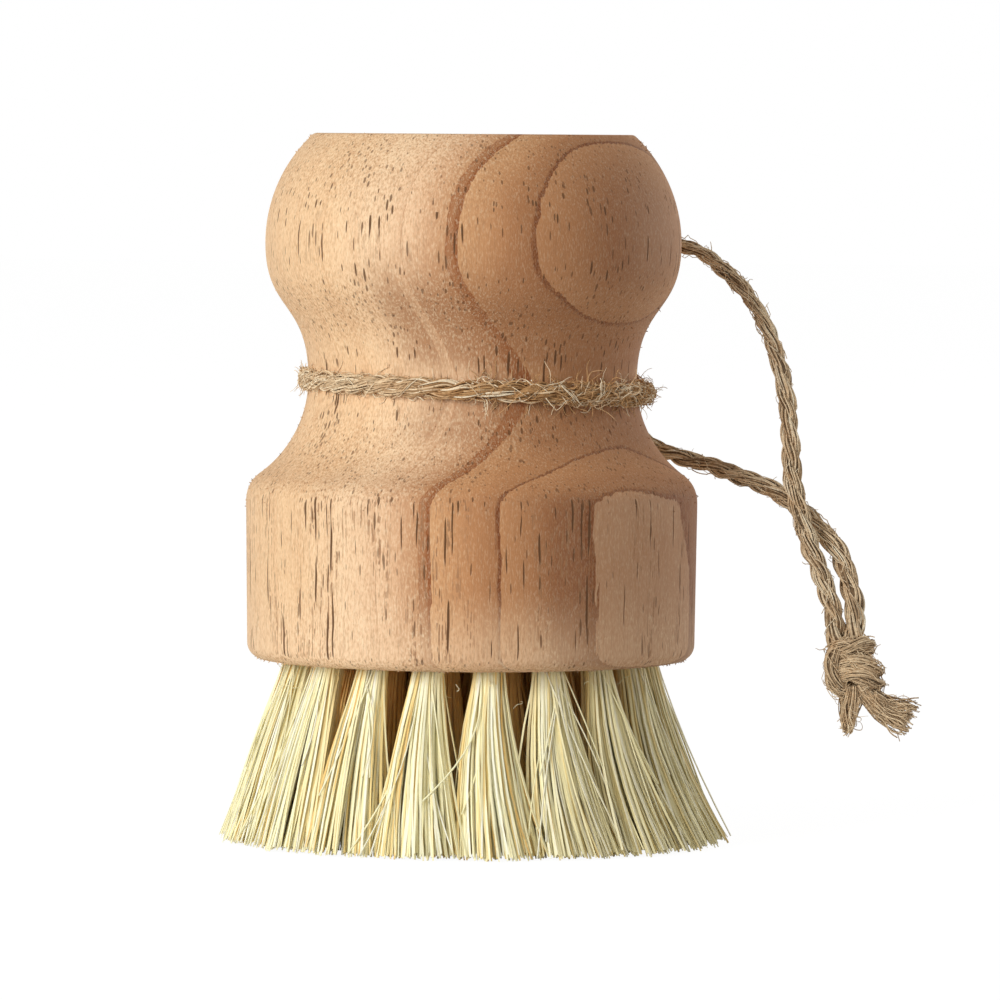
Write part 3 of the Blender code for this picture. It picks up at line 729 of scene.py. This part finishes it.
stray_mesh = fibre_mesh("stray_fibres", *joined([crossing_fibres(tuft_rng), curled_fibres(tuft_rng)]))
add_piece("stray_fibres", stray_mesh, PALM_FIBRE, "brush")


# Anchor wires
# A short length of flat drawn wire across the end of every hole. Its tuft is folded over it, and its two ends
# bite into the wood when it is driven in. None of them shows from outside.
ANCHOR_SIZE = (0.0045, 0.0004, 0.0012)
ANCHOR_TURN = math.radians(45)
ANCHOR_EDGE = 0.0001


def drawn_wire():
    material, shader, start = new_material("drawn_wire", 0.35, 0.5)
    shader.inputs["Metallic"].default_value = 1.0
    dulled = place_in_mm(start).noise(2.0, 2.0, 3.0)
    feed(shader, "Base Color", dulled.ramp([(0.3, (0.42, 0.40, 0.37)), (0.7, (0.60, 0.58, 0.54))]))
    feed(shader, "Roughness", 0.3 + 0.25 * dulled)
    return material


def anchor_wires():
    mesh = bmesh.new()
    for _, ring_radius, bearing in tufts():
        centre = tuft_centre(ring_radius, bearing, FOLD_Z + ANCHOR_SIZE[2] / 2)
        wire = bmesh.ops.create_cube(mesh, size=1.0)["verts"]
        bmesh.ops.scale(mesh, vec=ANCHOR_SIZE, verts=wire)
        turn = bearing + ANCHOR_TURN
        for vertex in wire:
            x, y, z = vertex.co
            across = x * math.cos(turn) - y * math.sin(turn), x * math.sin(turn) + y * math.cos(turn)
            vertex.co = centre + Vector((*across, z))
    bmesh.ops.bevel(mesh, geom=mesh.edges[:], offset=ANCHOR_EDGE, segments=2, affect="EDGES", profile=0.5)
    return finished(mesh, "anchor_wires")


add_piece("anchor_wires", anchor_wires(), drawn_wire(), "brush")


# Twine
# Natural jute in three plies laid left-handed, about 2 mm thick, limp and hairy. One length goes round the
# neck, is half knotted behind it and runs on as two legs, which an overhand knot joins. Its cut ends fray.
TWINE_DIAMETER = 0.002
PIECE_GAP = 0.0003
PLIES = 3
PLY_ORBIT = 0.00042
PLY_REACH = 0.00048
TWINE_PITCH = 0.0078
PLY_PITCH = 0.022
FIBRES_IN_PLY = 17
# The plies' cores are dark: painted shade that shows in the gaps between the fibres
CORE_SHADE = 0.03
TWINE_STEP = 0.00038
HAIR_STEPS = 10
HAIR_ROOT_REACH = 0.00085
JUTE_COLOURS = (
    (0.0, (0.11, 0.068, 0.036)),
    (0.15, (0.33, 0.22, 0.125)),
    (0.45, (0.66, 0.48, 0.29)),
    (0.8, (0.84, 0.66, 0.43)),
    (1.0, (0.96, 0.84, 0.62)),
)
STAINED_JUTE = (0.60, 0.36, 0.17, 1.0)
# A tint for painted shade on the right of the twine round the neck
RIGHT_SHADE_TINT = (0.72, 0.55, 0.38, 1.0)
FLECKED_JUTE = (0.20, 0.12, 0.06, 1.0)
PALE_JUTE = (0.96, 0.83, 0.60, 1.0)
NECK_REACH_MM = 21.0


def jute():
    material, shader, start = new_material("jute", 0.8, 0.2)
    place = place_in_mm(start)
    shade = fibre_shade(start)
    stained = place.noise(0.45, 0.45, 2.0)
    flecked = place.noise(2.8, 2.8, 2.0)
    # Painted shade: the twine round the neck is darkened from the left of its front towards the right, away
    # from the lamp; the palest hairs are left out
    right_shade = place.off_centre().rise(NECK_REACH_MM + 0.8, NECK_REACH_MM) * place.part("X").rise(-13.0, -1.0)
    right_shade = right_shade * shade.rise(0.95, 0.7)
    colour = shade.ramp(JUTE_COLOURS).covered(
        (stained.rise(0.45, 0.75) * 0.35, STAINED_JUTE),
        (flecked.rise(0.54, 0.68) * 0.5, FLECKED_JUTE),
        (flecked.rise(0.44, 0.3) * 0.35, PALE_JUTE),
    )
    feed(shader, "Base Color", colour.mixed(right_shade, RIGHT_SHADE_TINT, "MULTIPLY"))
    feed(shader, "Roughness", 0.68 + 0.2 * flecked)
    feed(shader, "Normal", flecked.bumped(0.4, 0.00005))
    return material


JUTE = jute()


def jute_piece(name, bundle):
    return add_piece(name, fibre_mesh(name, *bundle), JUTE, "cord_loop")


def followed(places, values, at):
    """The vectors of a path at other places along it."""
    return np.stack([np.interp(at, places, values[:, axis]) for axis in range(3)], axis=-1)


def smooth_path(points, spacing):
    """A smooth curve through the points, cut into even steps, and how far along it each step is."""
    points = np.array(points, dtype=float)
    padded = np.concatenate([2 * points[:1] - points[1:2], points, 2 * points[-1:] - points[-2:-1]])
    t = np.linspace(0.0, 1.0, 12, endpoint=False)[:, None]
    runs = []
    for before, start, end, after in zip(padded, padded[1:], padded[2:], padded[3:]):
        bent = (2 * before - 5 * start + 4 * end - after) * t**2
        bent = bent + (3 * start - before - 3 * end + after) * t**3
        runs.append(0.5 * (2 * start + (end - before) * t + bent))
    fine = np.concatenate(runs + [points[-1:]])
    gone = np.concatenate([[0.0], np.cumsum(np.linalg.norm(np.diff(fine, axis=0), axis=1))])
    places = np.linspace(0.0, gone[-1], max(6, round(gone[-1] / spacing)) + 1)
    return followed(gone, fine, places), places


def drift(rng, count, places, wave):
    """Smooth random wandering about nought along each of some fibres."""
    knots = np.arange(-wave, places[-1] + 2 * wave, wave)
    values = rng.normal(size=(count, len(knots)))
    eased = (places - knots[0]) / wave
    index = eased.astype(int)
    share = eased - index
    share = share * share * (3 - 2 * share)
    return values[:, index] * (1 - share) + values[:, index + 1] * share


def about_even(rng, count):
    """Turns that are about evenly spread over a full round."""
    return 2 * np.pi * (np.arange(count) + rng.uniform(-0.3, 0.3, count)) / count


def laid_twine(rng, path, places, size=1.0, turn=0.0, core=0.97):
    """Middles, radii and shades of the fibres of three laid plies along a path."""
    _, side, up = carried_frame(path)
    parts = []
    for ply in range(PLIES):
        lay = turn + 2 * np.pi * ply / PLIES - 2 * np.pi * places / TWINE_PITCH
        lay = lay + 0.22 * drift(rng, 1, places, 0.004)[0]
        orbit = size * PLY_ORBIT * (1 + 0.08 * drift(rng, 1, places, 0.003)[0])
        middle = path + orbit[:, None] * swung(side, up, lay)
        full = size * PLY_REACH * (1 + 0.09 * drift(rng, 1, places, 0.005)[0])
        rounds = about_even(rng, FIBRES_IN_PLY)[:, None] + 2 * np.pi * places / PLY_PITCH
        rounds = rounds + 0.2 * drift(rng, FIBRES_IN_PLY, places, 0.0022)
        reach = full * (1.0 + 0.075 * drift(rng, FIBRES_IN_PLY, places, 0.0016))
        thick = rng.uniform(0.00005, 0.000115, FIBRES_IN_PLY)
        thick = thick[:, None] * size * np.ones(len(places))
        centres = middle + reach[..., None] * swung(side, up, rounds)
        parts.append((middle[None], (full * core)[None], [CORE_SHADE]))
        parts.append((centres, thick, 0.14 + 0.86 * rng.beta(1.1, 1.0, FIBRES_IN_PLY)))
    return joined(parts)


def loose_hairs(rng, path, count, length, curl, spread=0.9):
    """Paths, radii and shades of hairs that stand off a stretch of twine."""
    along, side, up = carried_frame(path)
    at = rng.integers(1, len(path) - 1, count)
    out = swung(side[at], up[at], rng.uniform(0.0, 2 * np.pi, count))
    ways = rng.choice([-1.0, 1.0], count)[:, None]
    headings = out * spread + along[at] * ways + 0.35 * rng.normal(size=out.shape)
    lengths = length * rng.uniform(0.35, 1.5, count)
    paths = straying(rng, path[at] + HAIR_ROOT_REACH * out, headings, lengths, curl, HAIR_STEPS)
    radii = rng.uniform(0.00003, 0.000072, (count, 1)) * np.linspace(1.0, 0.55, HAIR_STEPS)
    return paths, radii, 0.45 + 0.55 * rng.uniform(size=count)


def wound_hairs(rng, path, places, count, reach):
    """Paths, radii and shades of loose fibres that lie wound about a stretch of twine."""
    _, side, up = carried_frame(path)
    lengths = rng.uniform(0.0015, 0.005, count)
    start = rng.uniform(0.0, places[-1] - 0.001, count)
    gone = lengths[:, None] * np.linspace(0.0, 1.0, HAIR_STEPS)
    at = np.minimum(start[:, None] + gone, places[-1])
    rate = rng.choice([-1.0, 1.0], (count, 1)) * rng.uniform(250.0, 1100.0, (count, 1))
    lay = rng.uniform(0.0, 2 * np.pi, (count, 1)) + rate * gone
    out = swung(followed(places, side, at), followed(places, up, at), lay)
    away = reach * rng.uniform(0.9, 1.12, (count, 1)) + 0.00012 * rng.normal(size=(count, HAIR_STEPS))
    radii = rng.uniform(0.000035, 0.00006, (count, 1)) * np.ones(HAIR_STEPS)
    return followed(places, path, at) + away[..., None] * out, radii, rng.uniform(0.55, 1.0, count)


def at_steps(values, at):
    """Each fibre's values at other places along it, counted in its own steps."""
    low = np.minimum(at.astype(int), values.shape[1] - 2)
    share = (at - low).reshape(low.shape + (1,) * (values.ndim - 2))
    row = np.arange(len(values))[:, None]
    return values[row, low] * (1 - share) + values[row, low + 1] * share


def cut_into(bundle, steps):
    """A bundle of fibres with another number of steps, so that it can be joined to others."""
    centres, radii, shades = bundle
    at = np.linspace(0, centres.shape[1] - 1, steps)
    return at_steps(centres, at), at_steps(radii, at), shades


def kept_off_wood(paths, clearance, pressed=1.0):
    """Paths with any point that is inside the turned block moved straight out to its surface.

    Points outside it are drawn nearer to it where the share by which they are pressed is less than 1.
    """
    reach = np.hypot(paths[..., 0], paths[..., 1])
    least = wood_reach(paths[..., 2]) + clearance
    grown = (least + pressed * np.maximum(reach - least, 0.0)) / reach
    return paths * np.stack([grown, grown, np.ones_like(grown)], axis=-1)


# Twine round the neck
# It runs from one face of the neck knot round to the other, drawn snug. Its hairs are a nest at the front
# right and at both sides, and lie sparsely elsewhere.
RING_RADIUS = 0.0187
RING_SHIFT = 0.0001
RING_DROP = 0.00055
RING_TILT = 0.0007
RING_SIZE = 1.16
RING_EASE = math.radians(30)
NECK_KNOT_BEARING = math.radians(48)
NECK_KNOT_ORBIT = 0.0203
NECK_KNOT_Z = CROWN_Z - NECK_DEPTH - 0.00033
NECK_KNOT_LENGTH = 0.0052
# Where the nests are: between two bearings, in degrees, how many hairs, how long, and how curly
HAIR_NESTS = (
    (-88.0, -20.0, 190, 0.0026, 0.3),
    (-22.0, 10.0, 120, 0.0013, 0.4),
    (170.0, 180.0, 40, 0.0008, 0.5),
    (-180.0, -150.0, 150, 0.0010, 0.5),
)
CLEAR_OF_WOOD = 0.00004
LEAST_RING_SHADE = 0.40


def ring_point(bearing):
    """A point of the ring, which has slipped a little below the narrowest of the neck, most on the right."""
    height = CROWN_Z - NECK_DEPTH - RING_DROP - RING_TILT * math.cos(bearing)
    return np.array([RING_SHIFT + RING_RADIUS * math.cos(bearing), RING_RADIUS * math.sin(bearing), height])


knot_out = outwards(NECK_KNOT_BEARING)
knot_centre = NECK_KNOT_ORBIT * knot_out + NECK_KNOT_Z * UPWARDS
knot_along = np.cross(UPWARDS, knot_out)
ring_start = knot_centre + (NECK_KNOT_LENGTH / 2 + PIECE_GAP) * knot_along
ring_end = knot_centre - (NECK_KNOT_LENGTH / 2 + PIECE_GAP) * knot_along
ring_bearings = NECK_KNOT_BEARING + np.linspace(RING_EASE, 2 * math.pi - RING_EASE, 30)
ring_route = [ring_start, ring_start + TWINE_DIAMETER * knot_along]
ring_route += [ring_point(bearing) for bearing in ring_bearings]
ring_route += [ring_end - TWINE_DIAMETER * knot_along, ring_end]
ring_path, ring_places = smooth_path(ring_route, TWINE_STEP)
twine_rng = np.random.default_rng(23)


def pressed_round_neck(paths):
    """How flat the twine lies against the neck: flattest on the left, where it is drawn tightest."""
    return 0.78 + 0.2 * paths[..., 0] / np.hypot(paths[..., 0], paths[..., 1])


ring_core = 0.85 * pressed_round_neck(ring_path)
ring_twine = laid_twine(twine_rng, ring_path, ring_places, RING_SIZE, turn=0.6, core=ring_core)
ring_centres, ring_radii, ring_shades = ring_twine
ring_centres = kept_off_wood(ring_centres, ring_radii + CLEAR_OF_WOOD, pressed_round_neck(ring_centres))
ring_shades = np.maximum(ring_shades, LEAST_RING_SHADE)
neck_ring = jute_piece("neck_ring_twine", (ring_centres, ring_radii, ring_shades))
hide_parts("cord_neck_ring")


def ring_hairs(rng):
    last_third = len(ring_path) - len(ring_path) // 3
    last_places = ring_places[last_third:] - ring_places[last_third]
    bundles = [
        loose_hairs(rng, ring_path, 300, length=0.0018, curl=0.3),
        wound_hairs(rng, ring_path, ring_places, 150, reach=0.00112),
        wound_hairs(rng, ring_path[last_third:], last_places, 200, reach=0.00116),
    ]
    bearing = np.degrees(np.arctan2(ring_path[:, 1], ring_path[:, 0]))
    for low, high, count, length, curl in HAIR_NESTS:
        stretch = ring_path[(bearing > low) & (bearing < high)]
        bundles.append(loose_hairs(rng, stretch, count, length, curl, spread=0.6))
    paths, radii, shades = joined(bundles)
    return kept_off_wood(paths, 2 * CLEAR_OF_WOOD, pressed_round_neck(paths)), radii, shades


neck_fuzz = jute_piece("neck_ring_fuzz", ring_hairs(twine_rng))


# Half knot behind the neck
# The ring's two ends turn once round each other and leave as the loop's two legs, one up and one down.
NECK_KNOT_RADIUS = 0.0021
NECK_KNOT_WRAP_REACH = 0.0011
KNOT_WRAP_START = 0.0019
KNOT_WRAP_STEP = 0.00072
KNOT_CLEAR_OF_WOOD = 0.0001
KNOT_STEPS = 48


def leg_exit(out_share, up_share):
    heading = unit(out_share * knot_out + up_share * UPWARDS)
    return knot_centre + (NECK_KNOT_RADIUS + PIECE_GAP) * heading, heading


upper_exit, upper_heading = leg_exit(0.5, 0.87)
lower_exit, lower_heading = leg_exit(0.64, -0.77)


def knot_strand(from_side, first_turn, leg_start, leg_heading):
    """One of the two strands: in from the ring, once round the other, and out to its leg."""
    points = [knot_centre + from_side * (NECK_KNOT_LENGTH / 2 + PIECE_GAP) * knot_along]
    for step in range(5):
        turn = first_turn + step * math.pi / 2
        shift = from_side * (KNOT_WRAP_START - KNOT_WRAP_STEP * step)
        around = swung(knot_out, UPWARDS, np.array(turn))
        points.append(knot_centre + shift * knot_along + NECK_KNOT_WRAP_REACH * around)
    points.append(leg_start + PIECE_GAP * leg_heading)
    return smooth_path(points, TWINE_STEP)


def neck_knot_fibres(rng):
    strands = [
        knot_strand(1.0, math.radians(160), upper_exit, upper_heading),
        knot_strand(-1.0, math.radians(-20), lower_exit, lower_heading),
    ]
    bundles = [cut_into(laid_twine(rng, path, places, size=0.92), KNOT_STEPS) for path, places in strands]
    hairs = [loose_hairs(rng, path, 60, length=0.0016, curl=0.4) for path, _ in strands]
    bundles += [cut_into(bundle, KNOT_STEPS) for bundle in hairs]
    centres, radii, shades = joined(bundles)
    return kept_off_wood(centres, KNOT_CLEAR_OF_WOOD), radii, shades


neck_knot = jute_piece("neck_knot_twine", neck_knot_fibres(twine_rng))
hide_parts("cord_neck_knot")


# Legs of the loop
# Two stretches of the same twine from the neck knot to the knot at the loop's end. They hang as they fell,
# cross once, and come into the end knot side by side.
END_KNOT_TOP = np.array([0.0411, 0.004, 0.0216])
END_KNOT_AXIS = unit(np.array([0.221, 0.0, -0.975]))
END_KNOT_LENGTH = 0.0064
UPPER_LEG_ROUTE_MM = (
    (16.7, 18.3, 57.0), (18.7, 18.2, 60.9), (21.0, 16.6, 64.0), (23.5, 14.7, 64.4), (25.8, 12.8, 63.3),
    (27.9, 11.3, 61.6), (30.0, 10.0, 59.4), (31.8, 8.9, 56.7), (33.3, 7.9, 53.0), (34.1, 7.2, 49.8),
    (34.6, 6.7, 47.1), (34.8, 6.3, 44.2), (35.0, 6.0, 41.5), (35.2, 5.7, 39.1), (35.6, 5.4, 37.0),
    (36.2, 5.1, 34.8), (37.0, 4.8, 32.2), (37.9, 4.5, 29.8), (38.9, 4.2, 27.1), (39.7, 4.0, 24.5),
)
LOWER_LEG_ROUTE_MM = (
    (17.8, 18.2, 43.8), (20.3, 17.0, 42.1), (22.9, 15.0, 41.1), (25.5, 13.3, 40.4), (28.0, 11.8, 39.7),
    (30.3, 10.7, 38.9), (32.1, 10.0, 38.2), (34.0, 9.3, 37.2), (35.8, 8.7, 35.9), (37.7, 8.0, 34.3),
    (39.3, 7.2, 32.5), (40.5, 6.4, 30.7), (41.3, 5.6, 28.4), (41.8, 4.9, 26.1), (42.1, 4.4, 24.0),
)
STRANDS_APART = 0.001
INTO_KNOT = 0.0016
# How full the twine is, of its plain size, near the neck and at the knot
UPPER_LEG_SIZES = (0.87, 1.2)
LOWER_LEG_SIZES = (0.99, 1.26)

knot_across = unit(np.cross(END_KNOT_AXIS, np.array([0.0, 1.0, 0.0])))


def leg_path(start, heading, route_mm, side):
    beside = side * STRANDS_APART * knot_across
    end = END_KNOT_TOP + beside - PIECE_GAP * END_KNOT_AXIS
    hidden = END_KNOT_TOP + 0.8 * beside + INTO_KNOT * END_KNOT_AXIS
    middle = np.array(route_mm) / 1000
    return smooth_path([start, start + TWINE_DIAMETER * heading, *middle, end, hidden], TWINE_STEP)


def leg_twine(rng, path, places, sizes, turn):
    return laid_twine(rng, path, places, np.interp(places / places[-1], (0.3, 1.0), sizes), turn)


def leg_hairs(rng, path, places, loose, wound):
    standing = loose_hairs(rng, path, loose, length=0.0009, curl=0.3, spread=0.4)
    return joined([standing, wound_hairs(rng, path, places, wound, reach=0.00096)])


upper_path, upper_places = leg_path(upper_exit, upper_heading, UPPER_LEG_ROUTE_MM, -1.0)
lower_path, lower_places = leg_path(lower_exit, lower_heading, LOWER_LEG_ROUTE_MM, 1.0)
upper_twine = leg_twine(twine_rng, upper_path, upper_places, UPPER_LEG_SIZES, 2.0)
lower_twine = leg_twine(twine_rng, lower_path, lower_places, LOWER_LEG_SIZES, 0.9)
upper_leg = jute_piece("upper_leg_twine", upper_twine)
lower_leg = jute_piece("lower_leg_twine", lower_twine)
upper_fuzz = jute_piece("upper_leg_fuzz", leg_hairs(twine_rng, upper_path, upper_places, 60, 80))
lower_fuzz = jute_piece("lower_leg_fuzz", leg_hairs(twine_rng, lower_path, lower_places, 36, 50))
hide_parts("cord_leg_upper")
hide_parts("cord_leg_lower")


# Knot at the loop's end
# Both legs turn together in an overhand knot and are drawn tight. A collar lies on top, one strand runs down
# the left flank, and two cross the front and fall away to the right, with dark gaps between them.
KNOT_CENTRE = END_KNOT_TOP + 0.5 * END_KNOT_LENGTH * END_KNOT_AXIS
KNOT_SIDES = 0.001 * np.array([[1.0, 0.0, 0.0], [0.0, -1.0, 0.0], [0.0, 0.0, -1.0]])
# The strands' routes from the knot's middle in mm, to the right, to the front and down
KNOT_ROUTES = (
    (
        (-1.5, -1.5, -1.7), (-2.0, 0.3, -1.8), (-1.1, 1.8, -2.2), (0.4, 2.1, -2.6), (1.6, 1.2, -2.7),
        (1.7, -0.6, -2.3), (0.5, -1.8, -1.8), (-1.2, -1.9, -1.5),
    ),
    (
        (-1.8, 1.2, -0.9), (-0.3, 2.2, -1.1), (1.2, 2.4, -0.8), (2.3, 1.5, 0.0), (2.5, -0.3, 0.7),
        (1.4, -2.0, 0.9), (-0.6, -2.4, 0.4), (-2.1, -1.3, -0.3),
    ),
    (
        (-1.2, 1.4, 0.7), (0.3, 2.5, 0.6), (1.6, 2.4, 0.9), (2.5, 1.2, 1.7), (2.4, -0.5, 2.2),
        (1.0, -1.9, 2.1), (-0.8, -2.0, 1.5), (-2.0, -1.0, 1.0),
    ),
    (
        (-0.5, 0.6, -2.7), (-1.4, 1.4, -2.2), (-2.1, 1.7, -1.0), (-2.25, 1.8, 0.4), (-1.9, 1.8, 1.7),
        (-1.0, 1.5, 2.5), (0.3, 0.9, 2.4), (1.2, -0.2, 1.9),
    ),
)
KNOT_CORE_REACH = 0.0023
# The knot's core is dark: painted shade in the gaps between its strands
KNOT_CORE_SHADE = 0.05
KNOT_SHADING = 0.8


def end_knot_fibres(rng):
    bundles = []
    for number, route in enumerate(KNOT_ROUTES):
        path, places = smooth_path(KNOT_CENTRE + np.array(route) @ KNOT_SIDES, TWINE_STEP)
        bundles.append(laid_twine(rng, path, places, size=1.02, turn=1.7 * number))
        bundles.append(loose_hairs(rng, path, 30, length=0.0012, curl=0.4, spread=0.5))
        bundles.append(wound_hairs(rng, path, places, 26, reach=0.001))
    bundles = [cut_into(bundle, KNOT_STEPS) for bundle in bundles]
    down = np.linspace(0.02, 0.98, KNOT_STEPS)
    core = END_KNOT_TOP + down[:, None] * END_KNOT_LENGTH * END_KNOT_AXIS
    bundles.append((core[None], KNOT_CORE_REACH * np.sqrt(np.sin(np.pi * down))[None], [KNOT_CORE_SHADE]))
    centres, radii, shades = joined(bundles)
    return centres, radii, KNOT_SHADING * shades


end_knot = jute_piece("end_knot_twine", end_knot_fibres(twine_rng))
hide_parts("cord_end_knot")


# Cut ends of the twine
# The two ends come out under the knot and are cut short. Their plies have come untwisted: one is frayed to a
# point, the other opens out like a brush, in locks.
SHORT_END_ROUTE = ((0.0, 1.4, 1.9), (-0.1, 1.5, 3.2), (-0.3, 1.2, 4.7), (-0.5, 1.0, 6.9))
SHORT_END_REACHES = (0.95, 1.4, 1.1, 0.25)
LONG_END_ROUTE = ((0.7, 1.5, 1.6), (2.1, 1.4, 3.2), (3.9, 1.0, 4.5), (6.5, 0.8, 5.4))
LONG_END_REACHES = (0.85, 1.3, 1.85, 2.5)
FRAYED_STEP = 0.0003
FRAYED_STEPS = 18
FRAYED_STRAY = 0.00034
LOCKS = 8


def frayed_end(rng, route, reaches, count):
    """Middles, radii and shades of untwisted fibres that gather in locks towards their cut ends."""
    path, places = smooth_path(KNOT_CENTRE + np.array(route) @ KNOT_SIDES, FRAYED_STEP)
    _, side, up = carried_frame(path)
    gone = places / places[-1]
    wide = 0.001 * np.interp(gone, np.linspace(0.0, 1.0, len(reaches)), reaches)
    lock = rng.integers(0, LOCKS, count)
    lock_turn = about_even(rng, LOCKS)
    lock_share = rng.uniform(0.45, 0.95, LOCKS)
    turn, share = rng.uniform(0.0, 2 * np.pi, count), np.sqrt(rng.uniform(0.02, 1.0, count))
    gather = 0.65 * gone**1.3
    across = []
    for own, shared in ((np.cos(turn), np.cos(lock_turn)), (np.sin(turn), np.sin(lock_turn))):
        loose, locked = (share * own)[:, None], (lock_share * shared)[lock][:, None]
        across.append(wide * (loose * (1 - gather) + locked * gather))
    centres = path + across[0][..., None] * side + across[1][..., None] * up
    centres += FRAYED_STRAY * np.stack([drift(rng, count, places, 0.0014) * gone for _ in range(3)], axis=-1)
    length = np.clip(rng.uniform(0.86, 1.0, LOCKS)[lock] + rng.uniform(-0.12, 0.05, count), 0.0, 1.0)
    kept = length[:, None] * np.linspace(0.0, 1.0, FRAYED_STEPS) * (len(places) - 1)
    radii = rng.uniform(0.00004, 0.000085, (count, 1)) * np.ones(FRAYED_STEPS)
    hairs = loose_hairs(rng, path, count // 5, length=0.0017, curl=0.5, spread=0.4)
    shades = 0.06 + 0.76 * rng.beta(1.2, 1.0, count)
    return joined([(at_steps(centres, kept), radii, shades), cut_into(hairs, FRAYED_STEPS)])


short_tail = jute_piece("short_cut_end", frayed_end(twine_rng, SHORT_END_ROUTE, SHORT_END_REACHES, 180))
long_tail = jute_piece("long_cut_end", frayed_end(twine_rng, LONG_END_ROUTE, LONG_END_REACHES, 300))
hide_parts("cord_tail_short")
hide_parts("cord_tail_long")


# Floor and lamps
# A plain white floor that keeps a faint shadow, a broad soft lamp from the front left, a weak one from the
# right and behind, and even light all round.
FLOOR_RADIUS = 4.0
FLOOR_DROP = 0.0004
FLOOR_COLOUR = (0.86, 0.86, 0.86, 1.0)
FLOOR_GLOW = 0.88
GLOW_STRENGTH = 1.08
WHITE = (1.0, 1.0, 1.0, 1.0)
LAMP_AIM = Vector((0.0, 0.0, 0.04))
LAMP_SIZE = 0.9
# Each lamp's name, place and watts
LAMPS = (
    ("key_lamp", Vector((-1.2, -1.3, 0.6)), 25.5),
    ("edge_lamp", Vector((1.2, 0.75, 0.45)), 5.0),
)
ROUND_LIGHT = 0.4


def seen_directly(start):
    """1 for what the camera sees, also in gloss or through glass, and 0 for what only lights the brush."""
    rays = start.node("ShaderNodeLightPath", {}, {}, "Is Camera Ray")
    seen = rays.math("MAXIMUM", rays.beside("Is Glossy Ray"))
    return seen.math("MAXIMUM", rays.beside("Is Transmission Ray"))


def white_floor():
    material, shader, start = new_material("white_floor", 0.9, 0.1)
    shader.inputs["Base Color"].default_value = FLOOR_COLOUR
    glow = start.node("ShaderNodeEmission", {}, {"Color": WHITE, "Strength": GLOW_STRENGTH})
    lit = Flow(start.tree, shader.outputs["BSDF"])
    mixed = start.node("ShaderNodeMixShader", {}, {0: seen_directly(start) * FLOOR_GLOW, 1: lit, 2: glow})
    material.node_tree.links.new(mixed.socket, material.node_tree.nodes["Material Output"].inputs["Surface"])
    return material


floor_form = bmesh.new()
bmesh.ops.create_circle(floor_form, cap_ends=True, segments=96, radius=FLOOR_RADIUS)
floor_mesh = finished(floor_form, "floor")
floor_mesh.materials.append(white_floor())
floor = placed("floor", floor_mesh)
floor.location = (0.0, 0.0, -FLOOR_DROP)

for lamp_name, lamp_place, watts in LAMPS:
    lamp = placed(lamp_name, bpy.data.lights.new(lamp_name, "AREA"))
    lamp.data.energy = watts
    lamp.data.size = LAMP_SIZE
    lamp.location = lamp_place
    lamp.rotation_euler = (LAMP_AIM - lamp_place).to_track_quat("-Z", "Y").to_euler()

world = bpy.data.worlds.new("studio")
world.use_nodes = True
bpy.context.scene.world = world
background = world.node_tree.nodes["Background"]
background.inputs["Color"].default_value = WHITE
seen = seen_directly(Flow(world.node_tree, None))
feed(background, "Strength", ROUND_LIGHT + (1.0 - ROUND_LIGHT) * seen)
bpy.context.scene.view_settings.view_transform = "Standard"
